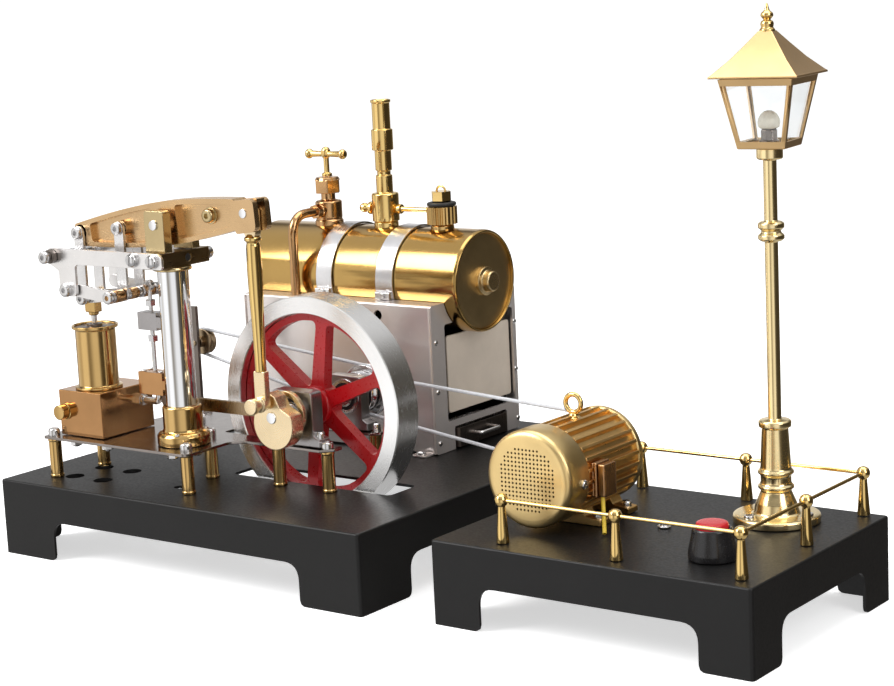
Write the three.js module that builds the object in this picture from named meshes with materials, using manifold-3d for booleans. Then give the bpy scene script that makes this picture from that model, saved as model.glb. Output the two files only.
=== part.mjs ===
// A model beam engine on a pressed steel base, driving a generator and a street lamp on a second base
// by a belt. Millimetres. X runs along the bases' front edges, Y towards the back, Z up. All numbers
// below are measured from the front left corner of the engine base; the group moves the whole object
// to the centre of its footprint.
import * as THREE from "three";
import Module from "manifold-3d";
import { mergeVertices } from "three/addons/utils/BufferGeometryUtils.js";

const wasm = await Module();
wasm.setup();

// ---- driving dimensions ----
const SHEET = 1.2;
const BASE_H = 33;
const ENGINE_BASE = { x0: 0, x1: 200, y0: 0, y1: 194, foot: 31, notch: 17.2 };
const LAMP_BASE = { x0: 229.4, x1: 365.8, y0: 7, y1: 114.8, foot: 21.5, notch: 17.2 };
const FOOTPRINT_CENTRE = { x: 182.9, y: 97 };

const TABLE_Z = 50.3; // underside of the steel table that carries the engine
const TABLE_T = 1.2;
const TABLE_TOP = TABLE_Z + TABLE_T;
const GAP = 0.3; // between two pieces that touch
const RUN = 0.15; // round a pin in its own hole
const DETAIL = 0.6; // share of the sides asked for that a round piece really gets

const CENTRE_Y = 28.5; // the plane of the beam, cylinder, column and connecting rod
const CYLINDER_X = 36;
const COLUMN_X = 84.7;
const ENTABLATURE_X = 85.8; // the bar on the column and the uprights sit a little to the right
const SHAFT = { x: 132.2, z: 66 };
const CRANK_PIN = { x: 130.4, z: 72.3 };
const FULCRUM = { x: ENTABLATURE_X, z: 145.3 };
const BEAM_RIGHT = { x: 130.4, z: 151 }; // the connecting rod's upper pin
const PIN_A = { x: 36, z: 139.7 }; // the beam's left end
const PIN_B = { x: 60.2, z: 142.5 }; // halfway along the left arm
const PIN_C = { x: 36, z: 111.4 }; // the crosshead
const PIN_D = { x: 60.2, z: 114.2 }; // the fourth corner of the parallel motion
const FRAME_BOLT = { x: 29.8, z: 130.8 };
const PIN_E = { x: 37, z: 116.6 }; // the radius bars' fixed pivot
const BELT_Y = 88; // the plane of the generator belt
const WHEEL = { y0: 55.5, y1: 69.5, outer: 46.5, inner: 39.2 };

const BOILER = { x0: 34.5, x1: 157.4, y: 150, z: 106.5, r: 22.8 };
const FIREBOX = { x0: 42, x1: 150, y0: 118, y1: 182, top: 99.5 };
const MOTOR = { x: 258.2, z: 53.6, y0: 31, y1: 85.6, r: 19 };
const LAMP = { x: 331.9, y: 89 };
const BUTTON = { x: 336, y: 33.2 };

// ---- materials, one per mesh ----
const COLOURS = {
  black: 0x17181a,
  steel: 0xb8b9bb,
  chrome: 0xd9dbde,
  brass: 0xc9a24a,
  copper: 0xb87a45,
  bronze: 0x4a4238,
  red: 0xa51217,
  gold: 0xd2b25f,
  rubber: 0x1b1b1b,
  cord: 0xd9dadd,
  glass: 0xdfe6e8,
  yellow: 0xe2c63a,
};

// ---- solids ----
function solid(geometry) {
  const plain = geometry.index ? geometry.toNonIndexed() : geometry.clone();
  plain.deleteAttribute("normal");
  plain.deleteAttribute("uv");
  const merged = mergeVertices(plain, 1e-4);
  return new wasm.Manifold(
    new wasm.Mesh({
      numProp: 3,
      vertProperties: merged.attributes.position.array,
      triVerts: new Uint32Array(merged.index.array),
    }),
  );
}

function geometryOf(manifold) {
  const mesh = manifold.getMesh();
  const count = mesh.vertProperties.length / mesh.numProp;
  const points = new Float32Array(count * 3);
  for (let i = 0; i < count; i += 1) {
    points[3 * i] = mesh.vertProperties[mesh.numProp * i];
    points[3 * i + 1] = mesh.vertProperties[mesh.numProp * i + 1];
    points[3 * i + 2] = mesh.vertProperties[mesh.numProp * i + 2];
  }
  const geometry = new THREE.BufferGeometry();
  geometry.setAttribute("position", new THREE.BufferAttribute(points, 3));
  geometry.setIndex(new THREE.BufferAttribute(new Uint32Array(mesh.triVerts), 1));
  geometry.computeVertexNormals();
  return geometry;
}

function join(first, ...rest) {
  return rest.reduce((sum, one) => sum.add(one), first);
}

function cut(first, ...rest) {
  return rest.reduce((sum, one) => sum.subtract(one), first);
}

function box(x0, x1, y0, y1, z0, z1) {
  const geometry = new THREE.BoxGeometry(x1 - x0, y1 - y0, z1 - z0);
  geometry.translate((x0 + x1) / 2, (y0 + y1) / 2, (z0 + z1) / 2);
  return solid(geometry);
}

// A solid turned about a line along `axis` through `at`; the profile lists [radius, place along the
// axis] from the bottom to the top, and starts and ends on the axis or closes on itself.
function turned(axis, at, profile, sides) {
  const points = profile.map(([r, h]) => new THREE.Vector2(r, h));
  const faces = sides <= 6 ? sides : Math.max(8, 2 * Math.round((sides * DETAIL) / 2));
  const geometry = new THREE.LatheGeometry(points, faces);
  if (axis === "z") {
    geometry.rotateX(Math.PI / 2);
    geometry.translate(at.x, at.y, 0);
  } else if (axis === "x") {
    geometry.rotateZ(-Math.PI / 2);
    geometry.translate(0, at.y, at.z);
  } else {
    geometry.translate(at.x, 0, at.z);
  }
  return solid(geometry);
}

// A plain round bar between two places along an axis.
function bar(axis, at, r, from, to, sides = 16) {
  const profile = [
    [0, from],
    [r, from],
    [r, to],
    [0, to],
  ];
  return turned(axis, at, profile, sides);
}

// A tube, whose bore can stop short of either end.
function tube(axis, at, rOut, rIn, from, to, sides = 24) {
  const outer = bar(axis, at, rOut, from, to, sides);
  return cut(outer, bar(axis, at, rIn, from - 1, to + 1, sides));
}

// A flat plate drawn in X and Z and thick in Y.
function plateXZ(shape, y0, y1, holes = [], curve = 6) {
  holes.forEach((hole) => {
    const path = new THREE.Path();
    path.absarc(hole.x, hole.z, hole.r, 0, Math.PI * 2, true);
    shape.holes.push(path);
  });
  const options = { depth: y1 - y0, bevelEnabled: false, curveSegments: curve };
  const geometry = new THREE.ExtrudeGeometry(shape, options);
  geometry.rotateX(Math.PI / 2);
  geometry.translate(0, y1, 0);
  return solid(geometry);
}

// A flat plate drawn in X and Y and thick in Z.
function plateXY(shape, z0, z1, curve = 6) {
  const options = { depth: z1 - z0, bevelEnabled: false, curveSegments: curve };
  const geometry = new THREE.ExtrudeGeometry(shape, options);
  geometry.translate(0, 0, z0);
  return solid(geometry);
}

// A closed outline through corners, each rounded with its own radius: [x, y, radius].
function outline(corners) {
  const shape = new THREE.Shape();
  const count = corners.length;
  corners.forEach(([x, y, r], i) => {
    const [px, py] = corners[(i + count - 1) % count];
    const [nx, ny] = corners[(i + 1) % count];
    const back = new THREE.Vector2(px - x, py - y).normalize().multiplyScalar(r);
    const ahead = new THREE.Vector2(nx - x, ny - y).normalize().multiplyScalar(r);
    if (i === 0) shape.moveTo(x + back.x, y + back.y);
    else shape.lineTo(x + back.x, y + back.y);
    if (r > 0) shape.quadraticCurveTo(x, y, x + ahead.x, y + ahead.y);
  });
  shape.closePath();
  return shape;
}

// The outline of a straight link with round ends of radius r about two pins.
function linkShape(p, q, r) {
  const along = Math.atan2(q.z - p.z, q.x - p.x);
  const shape = new THREE.Shape();
  shape.absarc(p.x, p.z, r, along + Math.PI / 2, along + (3 * Math.PI) / 2, false);
  shape.absarc(q.x, q.z, r, along - Math.PI / 2, along + Math.PI / 2, false);
  shape.closePath();
  return shape;
}

// A straight link, thick in Y, with a hole of radius bore round each pin.
function link(p, q, r, y0, y1, bores) {
  const holes = [];
  if (bores[0]) holes.push({ x: p.x, z: p.z, r: bores[0] });
  if (bores[1]) holes.push({ x: q.x, z: q.z, r: bores[1] });
  return plateXZ(linkShape(p, q, r), y0, y1, holes, 5);
}

// A round rod swept along a path.
function sweptOn(path, r, sides, steps) {
  const circle = new THREE.Shape();
  for (let i = 0; i < sides; i += 1) {
    const a = (2 * Math.PI * i) / sides;
    if (i === 0) circle.moveTo(r * Math.cos(a), r * Math.sin(a));
    else circle.lineTo(r * Math.cos(a), r * Math.sin(a));
  }
  circle.closePath();
  const geometry = new THREE.ExtrudeGeometry(circle, { steps, extrudePath: path, bevelEnabled: false });
  return solid(geometry);
}

const group = new THREE.Group();
group.name = "model_steam_engine";
group.position.set(-FOOTPRINT_CENTRE.x, -FOOTPRINT_CENTRE.y, 0);

function node(name, manifold, colour, metalness = 0.9, roughness = 0.35) {
  const material = new THREE.MeshStandardMaterial({ color: COLOURS[colour], metalness, roughness });
  material.name = `${name}_material`;
  const mesh = new THREE.Mesh(geometryOf(manifold), material);
  mesh.name = name;
  group.add(mesh);
}

// ---- the two pressed bases ----
// A tray turned upside down: four walls and a top of sheet steel, with an arched cut in each wall that
// leaves feet.
function pressedBase(b, frontFoot, sideFoot) {
  const inset = 0.9;
  const plan = (grow) =>
    outline([
      [b.x0 - grow, b.y0 - grow, 2.6],
      [b.x1 + grow, b.y0 - grow, 2.6],
      [b.x1 + grow, b.y1 + grow, 2.6],
      [b.x0 - grow, b.y1 + grow, 2.6],
    ]);
  const skin = join(
    plateXY(plan(0), 0, BASE_H - inset, 3),
    plateXY(plan(-inset), BASE_H - inset - 0.01, BASE_H, 3),
  );
  const hollow = plateXY(plan(-SHEET), -1, BASE_H - SHEET, 3);
  const arch = (from, to) =>
    outline([
      [from - 3, -1, 0],
      [to + 3, -1, 0],
      [to + 1.6, 1.6, 1],
      [to, 4.5, 2],
      [to, b.notch, 6.5],
      [from, b.notch, 6.5],
      [from, 4.5, 2],
      [from - 1.6, 1.6, 1],
    ]);
  const across = plateXZ(arch(b.x0 + frontFoot, b.x1 - frontFoot), b.y0 - 5, b.y1 + 5, [], 4);
  const sideways = plateXZ(arch(b.y0 + sideFoot, b.y1 - sideFoot), -b.x1 - 5, -b.x0 + 5, [], 4);
  return cut(skin, hollow, across, sideways.rotate([0, 0, 90]));
}

const engineBase = cut(
  pressedBase(ENGINE_BASE, ENGINE_BASE.foot, 32),
  plateXY(
    outline([
      [88, 53.2, 3],
      [174, 53.2, 3],
      [174, 71.8, 3],
      [88, 71.8, 3],
    ]),
    BASE_H - 3,
    BASE_H + 1,
    3,
  ),
  ...[
    [26.7, 18.9],
    [43.8, 18.9],
    [26.7, 36.7],
    [43.8, 36.7],
  ].map(([x, y]) => bar("z", { x, y }, 4.2, BASE_H - 3, BASE_H + 1, 18)),
  bar("z", { x: 83.6, y: 25 }, 2.6, BASE_H - 3, BASE_H + 1, 14),
);
node("engine_base", engineBase, "black", 0.3, 0.5);
node("lamp_base", pressedBase(LAMP_BASE, LAMP_BASE.foot, 21), "black", 0.3, 0.5);

// ---- the steel table on its turned pillars ----
const PILLARS = [
  [20, 15],
  [23.5, 40],
  [95.5, 18],
  [85, 44],
  [121.2, 46.6],
  [147.6, 47],
  [143, 84.5],
  [45, 85],
];
const tableTop = plateXY(
  outline([
    [16.5, 11.5, 1.5],
    [101, 11.5, 4],
    [101, 38, 4],
    [106, 42.6, 4],
    [147, 42.6, 1],
    [151.5, 47, 1],
    [151.5, 52.2, 1],
    [85.5, 52.2, 2],
    [85.5, 77, 2],
    [146, 77, 1],
    [149.5, 80.5, 1],
    [149.5, 91, 1.5],
    [38, 91, 1.5],
    [38, 60, 4],
    [30, 52, 4],
    [16.5, 52, 1.5],
  ]),
  TABLE_Z,
  TABLE_TOP,
  3,
);
const pillar = ([x, y]) => bar("z", { x, y }, 3, BASE_H + GAP, TABLE_Z + 0.4, 14);
node("engine_table", join(tableTop, ...PILLARS.map(pillar)), "steel");

// ---- cylinder and its block ----
const block = cut(
  box(22.5, 48, 17, 48.5, TABLE_TOP + GAP, 71.6),
  bar("z", { x: CYLINDER_X, y: CENTRE_Y }, 2, 66, 75, 12),
);
const plugProfile = [
  [0, 12.6],
  [2.9, 12.6],
  [3.2, 12.9],
  [3.2, 17.2],
  [0, 17.2],
];
const blockPlug = turned("y", { x: 26.2, z: 62.3 }, plugProfile, 20);
// The steam's way from the valve chest: a pipe with a union nut, turned up into the chest's lug.
const PORT = { y: 40.2, z: 65 };
const PORT_RISER = { x: 60.4, y: PORT.y };
const portPipe = join(
  bar("x", PORT, 1.6, 47.6, PORT_RISER.x, 14),
  bar("x", PORT, 2.7, 47.8, 50.4, 6),
  bar("z", PORT_RISER, 1.6, PORT.z - 1.6, 70.1, 14),
);
node("cylinder_block", join(block, blockPlug, portPipe), "copper");
const cylinderShape = [
  [0, 71.9],
  [10.2, 71.9],
  [10.2, 72.8],
  [8.7, 73],
  [8.7, 97.8],
  [9.9, 98],
  [9.9, 99.3],
  [3.4, 99.3],
  [3.4, 99.9],
  [0, 99.9],
];
const cylinderBore = [
  [0, 74.4],
  [7.2, 74.4],
  [7.2, 97.2],
  [0, 97.2],
];
const cylinder = cut(
  turned("z", { x: CYLINDER_X, y: CENTRE_Y }, cylinderShape, 32),
  turned("z", { x: CYLINDER_X, y: CENTRE_Y }, cylinderBore, 24),
  bar("z", { x: CYLINDER_X, y: CENTRE_Y }, 1.55, 96, 101, 14),
);
node("cylinder", cylinder, "brass");
const pistonProfile = [
  [0, 75.4],
  [6.9, 75.4],
  [6.9, 80.4],
  [1.3, 80.4],
  [1.3, 104.4],
  [0, 104.4],
];
node("piston_rod", turned("z", { x: CYLINDER_X, y: CENTRE_Y }, pistonProfile, 20), "steel");
const crosshead = cut(
  join(
    box(CYLINDER_X - 3.1, CYLINDER_X + 3.1, CENTRE_Y - 2.2, CENTRE_Y + 2.2, 104.7, 114.4),
    bar("z", { x: CYLINDER_X, y: CENTRE_Y }, 2, 103.4, 105, 12),
  ),
  bar("z", { x: CYLINDER_X, y: CENTRE_Y }, 1.45, 103, 104.7, 14),
  bar("y", PIN_C, 1.6, CENTRE_Y - 5, CENTRE_Y + 5, 14),
);
node("crosshead", crosshead, "brass");

// ---- valve chest, spindle and guide ----
const VALVE = { x: 66.5, y: 32.5 };
const columnAt = { x: COLUMN_X, y: CENTRE_Y };
// The chest hangs on a bracket from the column, with a lug on its left for the steam's port.
const chest = join(
  box(59, 73, 29.5, 37.2, 70.4, 80.2),
  box(58.5, 62.4, 37, 42.5, 70.4, 75.6),
  box(72.8, COLUMN_X - 4, 29.5, 33, 73, 77),
);
const chestBore = bar("z", VALVE, 1.25, 72, 82, 12);
node("valve_chest", cut(chest, chestBore, bar("z", columnAt, 6.85, 60, 80, 32)), "brass");
const spindle = join(
  bar("z", VALVE, 0.95, 74, 116, 12),
  bar("z", VALVE, 2.2, 108.6, 111, 6),
  bar("z", VALVE, 2.2, 93.2, 95.8, 6),
  bar("y", { x: VALVE.x, z: 117.4 }, 2.3, VALVE.y - 1.1, VALVE.y + 1.1, 14),
);
node("valve_spindle", spindle, "steel");
const guide = cut(
  join(
    box(VALVE.x - 5.5, VALVE.x + 5.5, 29.5, 35.5, 98.4, 106),
    box(VALVE.x + 5, COLUMN_X - 4, 29.5, 33, 99.6, 104.4),
  ),
  bar("z", columnAt, 6.85, 90, 110, 32),
  bar("z", VALVE, 1.2, 90, 110, 14),
);
node("spindle_guide", guide, "steel");

// ---- column, entablature and the fulcrum's uprights ----
const footProfile = [
  [0, TABLE_TOP + GAP],
  [11.2, TABLE_TOP + GAP],
  [11.2, 55.8],
  [10.4, 56.6],
  [8.6, 57.2],
  [8.4, 68.2],
  [0, 68.2],
];
const columnFoot = turned("z", columnAt, footProfile, 32);
node("column_base", cut(columnFoot, bar("z", columnAt, 6.9, 60, 70, 28)), "brass");
const column = tube("z", columnAt, 6.55, 5.3, 60.3, 125.4, 32);
node("column", column, "chrome");
const entablature = join(
  box(ENTABLATURE_X - 4.6, ENTABLATURE_X + 4.6, 15, 45.4, 127, 133.4),
  bar("z", columnAt, 8.1, 125.7, 128, 24),
);
node("entablature", entablature, "bronze");
const upright = (y0, y1, bore) => {
  const post = outline([
    [ENTABLATURE_X - 5.4, 133.7, 0],
    [ENTABLATURE_X + 5.4, 133.7, 0],
    [ENTABLATURE_X + 5.4, 151.2, 1.6],
    [ENTABLATURE_X - 5.4, 151.2, 1.6],
  ]);
  return plateXZ(post, y0, y1, [{ x: FULCRUM.x, z: FULCRUM.z, r: bore }], 8);
};
node("upright_front", join(upright(18, 22.6, 2), bar("y", FULCRUM, 2.2, 16.6, 40.4, 18)), "brass");
node("upright_rear", upright(34.4, 39, 2.2 + GAP), "brass");

// ---- the beam ----
// Local coordinates: u along the beam from the fulcrum, v across it; the beam is tilted by TILT at rest.
const TILT = Math.atan2(BEAM_RIGHT.z - FULCRUM.z, BEAM_RIGHT.x - FULCRUM.x);
const onBeam = (u, v) => [
  FULCRUM.x + u * Math.cos(TILT) - v * Math.sin(TILT),
  FULCRUM.z + u * Math.sin(TILT) + v * Math.cos(TILT),
];
const ARM_LEFT = Math.hypot(PIN_A.x - FULCRUM.x, PIN_A.z - FULCRUM.z);
const ARM_RIGHT = Math.hypot(BEAM_RIGHT.x - FULCRUM.x, BEAM_RIGHT.z - FULCRUM.z);
// Half the beam's depth at a place u, deepest at the fulcrum.
const halfDepth = (u, inset) => {
  const end = u < 0 ? ARM_LEFT + 3 : ARM_RIGHT + 6;
  const share = Math.min(1, Math.abs(u) / end);
  return 4.6 + 4.6 * (1 - share ** 1.7) - inset;
};
function beamOutline(uFrom, uTo, inset, steps) {
  const shape = new THREE.Shape();
  const places = [];
  for (let i = 0; i <= steps; i += 1) places.push(uFrom + ((uTo - uFrom) * i) / steps);
  places.forEach((u, i) => {
    const [x, z] = onBeam(u, -halfDepth(u, inset));
    if (i === 0) shape.moveTo(x, z);
    else shape.lineTo(x, z);
  });
  places.reverse().forEach((u) => {
    const [x, z] = onBeam(u, halfDepth(u, inset));
    shape.lineTo(x, z);
  });
  shape.closePath();
  return shape;
}
const BEAM_HALF = 4;
const beamY0 = CENTRE_Y - BEAM_HALF;
const beamY1 = CENTRE_Y + BEAM_HALF;
const recess = (from, to, y0, y1) => plateXZ(beamOutline(from, to, 2, 8), y0, y1);
const panels = [
  [-44, -6.5],
  [7, 38],
];
const clevis = (() => {
  const corners = [
    [ARM_RIGHT - 5.5, -7.6, 1.6],
    [ARM_RIGHT + 5.5, -7.6, 3],
    [ARM_RIGHT + 6.2, 5.4, 2.4],
    [ARM_RIGHT - 6, 5.6, 0],
  ].map(([u, v, r]) => [...onBeam(u, v), r]);
  return plateXZ(outline(corners), CENTRE_Y - 5, CENTRE_Y + 5, [], 4);
})();
const clevisSlot = (() => {
  const corners = [
    [ARM_RIGHT - 4.6, -20, 0],
    [ARM_RIGHT + 12, -20, 0],
    [ARM_RIGHT + 12, 3.6, 0],
    [ARM_RIGHT - 4.6, 3.6, 1],
  ].map(([u, v, r]) => [...onBeam(u, v), r]);
  return plateXZ(outline(corners), CENTRE_Y - 2.1, CENTRE_Y + 2.1, [], 4);
})();
let beam = plateXZ(beamOutline(-ARM_LEFT - 3, ARM_RIGHT + 4, 0, 22), beamY0, beamY1);
beam = cut(
  beam,
  ...panels.map(([from, to]) => recess(from, to, beamY0 - 1, CENTRE_Y - 1.6)),
  ...panels.map(([from, to]) => recess(from, to, CENTRE_Y + 1.6, beamY1 + 1)),
);
beam = join(
  beam,
  clevis,
  bar("y", FULCRUM, 4.4, beamY0 - 1.2, beamY1 + 1.2, 20),
  bar("y", PIN_A, 3.4, beamY0, beamY1, 16),
  bar("y", PIN_B, 3.2, beamY0, beamY1, 16),
);
beam = cut(
  beam,
  clevisSlot,
  bar("y", FULCRUM, 2.2 + RUN, 10, 50, 18),
  bar("y", PIN_A, 1.2 + RUN, 10, 50, 14),
  bar("y", PIN_B, 1.2 + RUN, 10, 50, 14),
  bar("y", BEAM_RIGHT, 1.6 + RUN, 10, 50, 14),
);
node("beam", beam, "copper");

// ---- parallel motion ----
const LINK_Y = [CENTRE_Y - 5.7, CENTRE_Y - 4.3]; // the front hanging links; the rear ones mirror them
const mirrorY = ([y0, y1]) => [2 * CENTRE_Y - y1, 2 * CENTRE_Y - y0];
const headed = (pin, r, y0, y1) => {
  const shank = bar("y", pin, r, y0, y1, 14);
  const head = bar("y", pin, 2.6, y0 - 1.6, y0 + 0.1, 14);
  const nut = bar("y", pin, 2.3, y1 - 0.1, y1 + 1.5, 6);
  return join(shank, head, nut);
};
function hangingPair(top, bottom, bottomPinned) {
  const pair = [LINK_Y, mirrorY(LINK_Y)].map(([y0, y1]) =>
    link(top, bottom, 2.7, y0, y1, [0, bottomPinned ? 0 : 1.5 + RUN]),
  );
  const upper = headed(top, 1.2, LINK_Y[0] - 0.1, mirrorY(LINK_Y)[1] + 0.1);
  if (!bottomPinned) return join(...pair, upper);
  return join(...pair, upper, headed(bottom, 1.1, LINK_Y[0] - 0.1, mirrorY(LINK_Y)[1] + 0.1));
}
node("links_end", hangingPair(PIN_A, PIN_C, true), "steel");
node("links_middle", hangingPair(PIN_B, PIN_D, false), "steel");
const TIE_Y = [CENTRE_Y - 3.9, CENTRE_Y - 2.5];
const tie = ([y0, y1]) => link(PIN_C, PIN_D, 2.4, y0, y1, [1.1 + RUN, 0]);
const RADIUS_Y = [15.2, 16.7];
const crossShaft = join(
  bar("y", PIN_D, 1.5, 13.6, 2 * CENTRE_Y - 13.6, 14),
  bar("y", PIN_D, 2.6, 13.2, 14.6, 14),
  bar("y", PIN_D, 2.6, 2 * CENTRE_Y - 14.6, 2 * CENTRE_Y - 13.2, 14),
  bar("y", PIN_D, 2.7, 17.2, 22.3, 14),
  bar("y", PIN_D, 2.7, 2 * CENTRE_Y - 22.3, 2 * CENTRE_Y - 17.2, 14),
  bar("y", PIN_D, 2.5, CENTRE_Y - 2.1, CENTRE_Y + 2.1, 14),
  tie(TIE_Y),
  tie(mirrorY(TIE_Y)),
);
node("cross_shaft", crossShaft, "brass");
const radiusBar = ([y0, y1]) => link(PIN_E, PIN_D, 2.7, y0, y1, [1.3 + RUN, 2.2]);
node("radius_bar_front", radiusBar(RADIUS_Y), "steel");
node("radius_bar_rear", radiusBar(mirrorY(RADIUS_Y)), "steel");

// The side frames: a flat plate with a leg that carries the radius bars' pivot.
function sideFrame(right, y0, y1, studFrom, studTo) {
  const face = outline([
    [27, 134.2, 1.5],
    [27, 127.4, 1.5],
    [32.6, 124.6, 1.5],
    [32.6, 113.8, 2.6],
    [42.5, 113.8, 2.6],
    [42.5, 127.6, 2],
    [right, 127.6, 1],
    [right, 132.6, 1],
    [right - 2.5, 134.2, 0.5],
  ]);
  return join(plateXZ(face, y0, y1, [], 3), bar("y", PIN_E, 1.3, studFrom, studTo, 14));
}
const FRAME_Y = [13.2, 14.6];
const frontFrame = join(sideFrame(93.5, ...FRAME_Y, 11, 17.6), bar("y", PIN_E, 2.6, 10.6, 12.2, 14));
// The rear frame ends against the entablature's side.
const rearRight = ENTABLATURE_X - 4.6 - GAP;
const rearFrame = join(
  sideFrame(rearRight, ...mirrorY(FRAME_Y), 39.4, 46),
  bar("y", PIN_E, 2.6, 44.8, 46.4, 14),
);
const tieBolt = join(
  bar("y", FRAME_BOLT, 1.3, 8.2, 48.6, 12),
  bar("y", FRAME_BOLT, 2.6, 6.9, 8.7, 14),
  bar("y", FRAME_BOLT, 3, 10.4, 12.9, 6),
  bar("y", FRAME_BOLT, 1.9, 14.9, 42.1, 12),
);
// The bolt is fixed in the front plate and passes the rear one in a clearance hole.
const boltHole = bar("y", FRAME_BOLT, 1.3 + RUN, 0, 60, 12);
node("side_frame_front", join(frontFrame, tieBolt), "steel");
node("side_frame_rear", cut(rearFrame, boltHole), "steel");

// ---- connecting rod with its crank pin ----
const rodAt = { x: BEAM_RIGHT.x, y: CENTRE_Y };
const rodProfile = [
  [0, 84],
  [2.4, 84],
  [2.3, 100],
  [3.1, 124],
  [3.0, 139.2],
  [3.6, 139.6],
  [3.6, 141],
  [2.2, 141.4],
  [0, 141.4],
];
const rodEye = link({ x: rodAt.x, z: 143 }, BEAM_RIGHT, 3.1, CENTRE_Y - 1.8, CENTRE_Y + 1.8, [0, 0]);
const bigEnd = box(rodAt.x - 2.9, rodAt.x + 2.9, 26.9, 30, 69, 86);
const connectingRod = join(
  turned("z", rodAt, rodProfile, 18),
  box(rodAt.x - 1.6, rodAt.x + 1.6, CENTRE_Y - 1.6, CENTRE_Y + 1.6, 138, 143.4),
  rodEye,
  bigEnd,
  bar("y", BEAM_RIGHT, 1.6, CENTRE_Y - 5.6, CENTRE_Y + 5.6, 14),
  bar("y", CRANK_PIN, 3.2, 20.4, 23.2, 18),
  bar("y", CRANK_PIN, 2.5, 23, 25.6, 16),
  bar("y", CRANK_PIN, 3.4, 25.4, 27, 16),
);
node("connecting_rod", connectingRod, "brass");

// ---- crank, shaft, eccentric and flywheel ----
const CRANK_Y = [31.1, 38.4];
const crankDisc = { x: 132.6, z: 63 };
const crankShape = (() => {
  const shape = new THREE.Shape();
  const r = 10.4;
  shape.absarc(crankDisc.x, crankDisc.z, r, Math.PI * 0.86, Math.PI * 2.14, false);
  shape.lineTo(137.4, 68.6);
  shape.quadraticCurveTo(134.4, 71, 133.6, 74.4);
  shape.quadraticCurveTo(130.4, 77.6, 127.4, 74.4);
  shape.quadraticCurveTo(126.6, 70.6, 122.8, 67.2);
  shape.closePath();
  return shape;
})();
const crank = cut(
  plateXZ(crankShape, CRANK_Y[0], CRANK_Y[1], [], 16),
  bar("y", SHAFT, 2.5 + RUN, 20, 50, 18),
  bar("y", CRANK_PIN, 1.8, 20, 33.5, 14),
);
node("crank", crank, "brass");
const ECCENTRIC = { x: SHAFT.x + 1.2, z: SHAFT.z };
const groovedPulley = (at, y, rBelt, half, lip = 1) => {
  const profile = [
    [0, y - half],
    [rBelt + lip, y - half],
    [rBelt + lip, y - half + 0.6],
    [rBelt - 0.9, y - 0.5],
    [rBelt - 0.9, y + 0.5],
    [rBelt + lip, y + half - 0.6],
    [rBelt + lip, y + half],
    [0, y + half],
  ];
  return turned("y", at, profile, 28);
};
const crankshaft = join(
  bar("y", SHAFT, 2.5, 30, 96.5, 18),
  bar("y", ECCENTRIC, 4.5, 39.6, 42.2, 20),
  groovedPulley(SHAFT, BELT_Y, 8, 2.1),
  groovedPulley(SHAFT, BELT_Y + 5.2, 10.4, 2.1),
  bar("y", SHAFT, 4.2, 84.6, 86.2, 16),
);
node("crankshaft", crankshaft, "steel");
const rim = tube("y", SHAFT, WHEEL.outer, WHEEL.inner, WHEEL.y0, WHEEL.y1, 88);
node("flywheel_rim", rim, "chrome");
// Six flat spokes between a hub and a ring, set back a little from the rim's faces.
const SPIDER_Y = [59.7, 65.7];
let spider = join(
  tube("y", SHAFT, WHEEL.inner - GAP, WHEEL.inner - 3.4, ...SPIDER_Y, 88),
  bar("y", SHAFT, 8.2, SPIDER_Y[0] - 2.2, SPIDER_Y[1] + 1.8, 28),
);
const spoke = (angle) => {
  const foot = 2.9;
  const tip = 2.6;
  const reach = WHEEL.inner - 2;
  const place = (along, across) => [
    SHAFT.x + along * Math.cos(angle) - across * Math.sin(angle),
    SHAFT.z + along * Math.sin(angle) + across * Math.cos(angle),
    0,
  ];
  const shape = outline([place(4, -foot), place(reach, -tip), place(reach, tip), place(4, foot)]);
  return plateXZ(shape, SPIDER_Y[0] + 0.3, SPIDER_Y[1] - 1.5);
};
const FIRST_SPOKE = THREE.MathUtils.degToRad(82);
for (let i = 0; i < 6; i += 1) spider = join(spider, spoke(FIRST_SPOKE + (i * Math.PI) / 3));
spider = cut(spider, bar("y", SHAFT, 2.5 + RUN, 40, 80, 18));
node("flywheel_spider", spider, "red", 0.2, 0.4);

// ---- shaft bearings ----
function bearing(y0, y1, x0, x1) {
  const body = outline([
    [x0, TABLE_TOP + GAP, 0],
    [x1, TABLE_TOP + GAP, 0],
    [x1, 55, 1],
    [x1 - 3, 57, 2],
    [x1 - 3, 75, 1.5],
    [x0 + 3, 75, 1.5],
    [x0 + 3, 57, 2],
    [x0, 55, 1],
  ]);
  return plateXZ(body, y0, y1, [{ x: SHAFT.x, z: SHAFT.z, r: 2.5 + GAP }], 8);
}
const frontBearing = join(bearing(44, 51, 118.5, 146), tube("y", SHAFT, 6, 2.5 + RUN, 43, 44.2, 20));
node("bearing_front", frontBearing, "steel");
node("bearing_rear", bearing(78.4, 84.2, 120, 144), "steel");

// ---- eccentric rod and the rotary valve's lever ----
const LEVER_PIN = { x: 66.5, z: 65.8 };
const LEVER_AXIS = { x: 66.5, z: 72.5 }; // the lever hangs from the valve
const rodY = [39.9, 41.9];
const strap = tube("y", SHAFT, 9.6, 7.2, rodY[0], rodY[1], 28);
const eccentricRod = join(
  strap,
  cut(
    link(LEVER_PIN, { x: SHAFT.x - 8, z: SHAFT.z }, 2.7, rodY[0], rodY[1], [1.1 + RUN, 0]),
    bar("y", SHAFT, 8, 30, 50, 28),
  ),
);
node("eccentric_rod", eccentricRod, "brass");
const lever = join(
  link(LEVER_AXIS, LEVER_PIN, 2.5, 37.7, 39.5, [0, 0]),
  bar("y", LEVER_PIN, 1.1, 38, 42.8, 12),
);
node("valve_lever", lever, "bronze");

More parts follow.
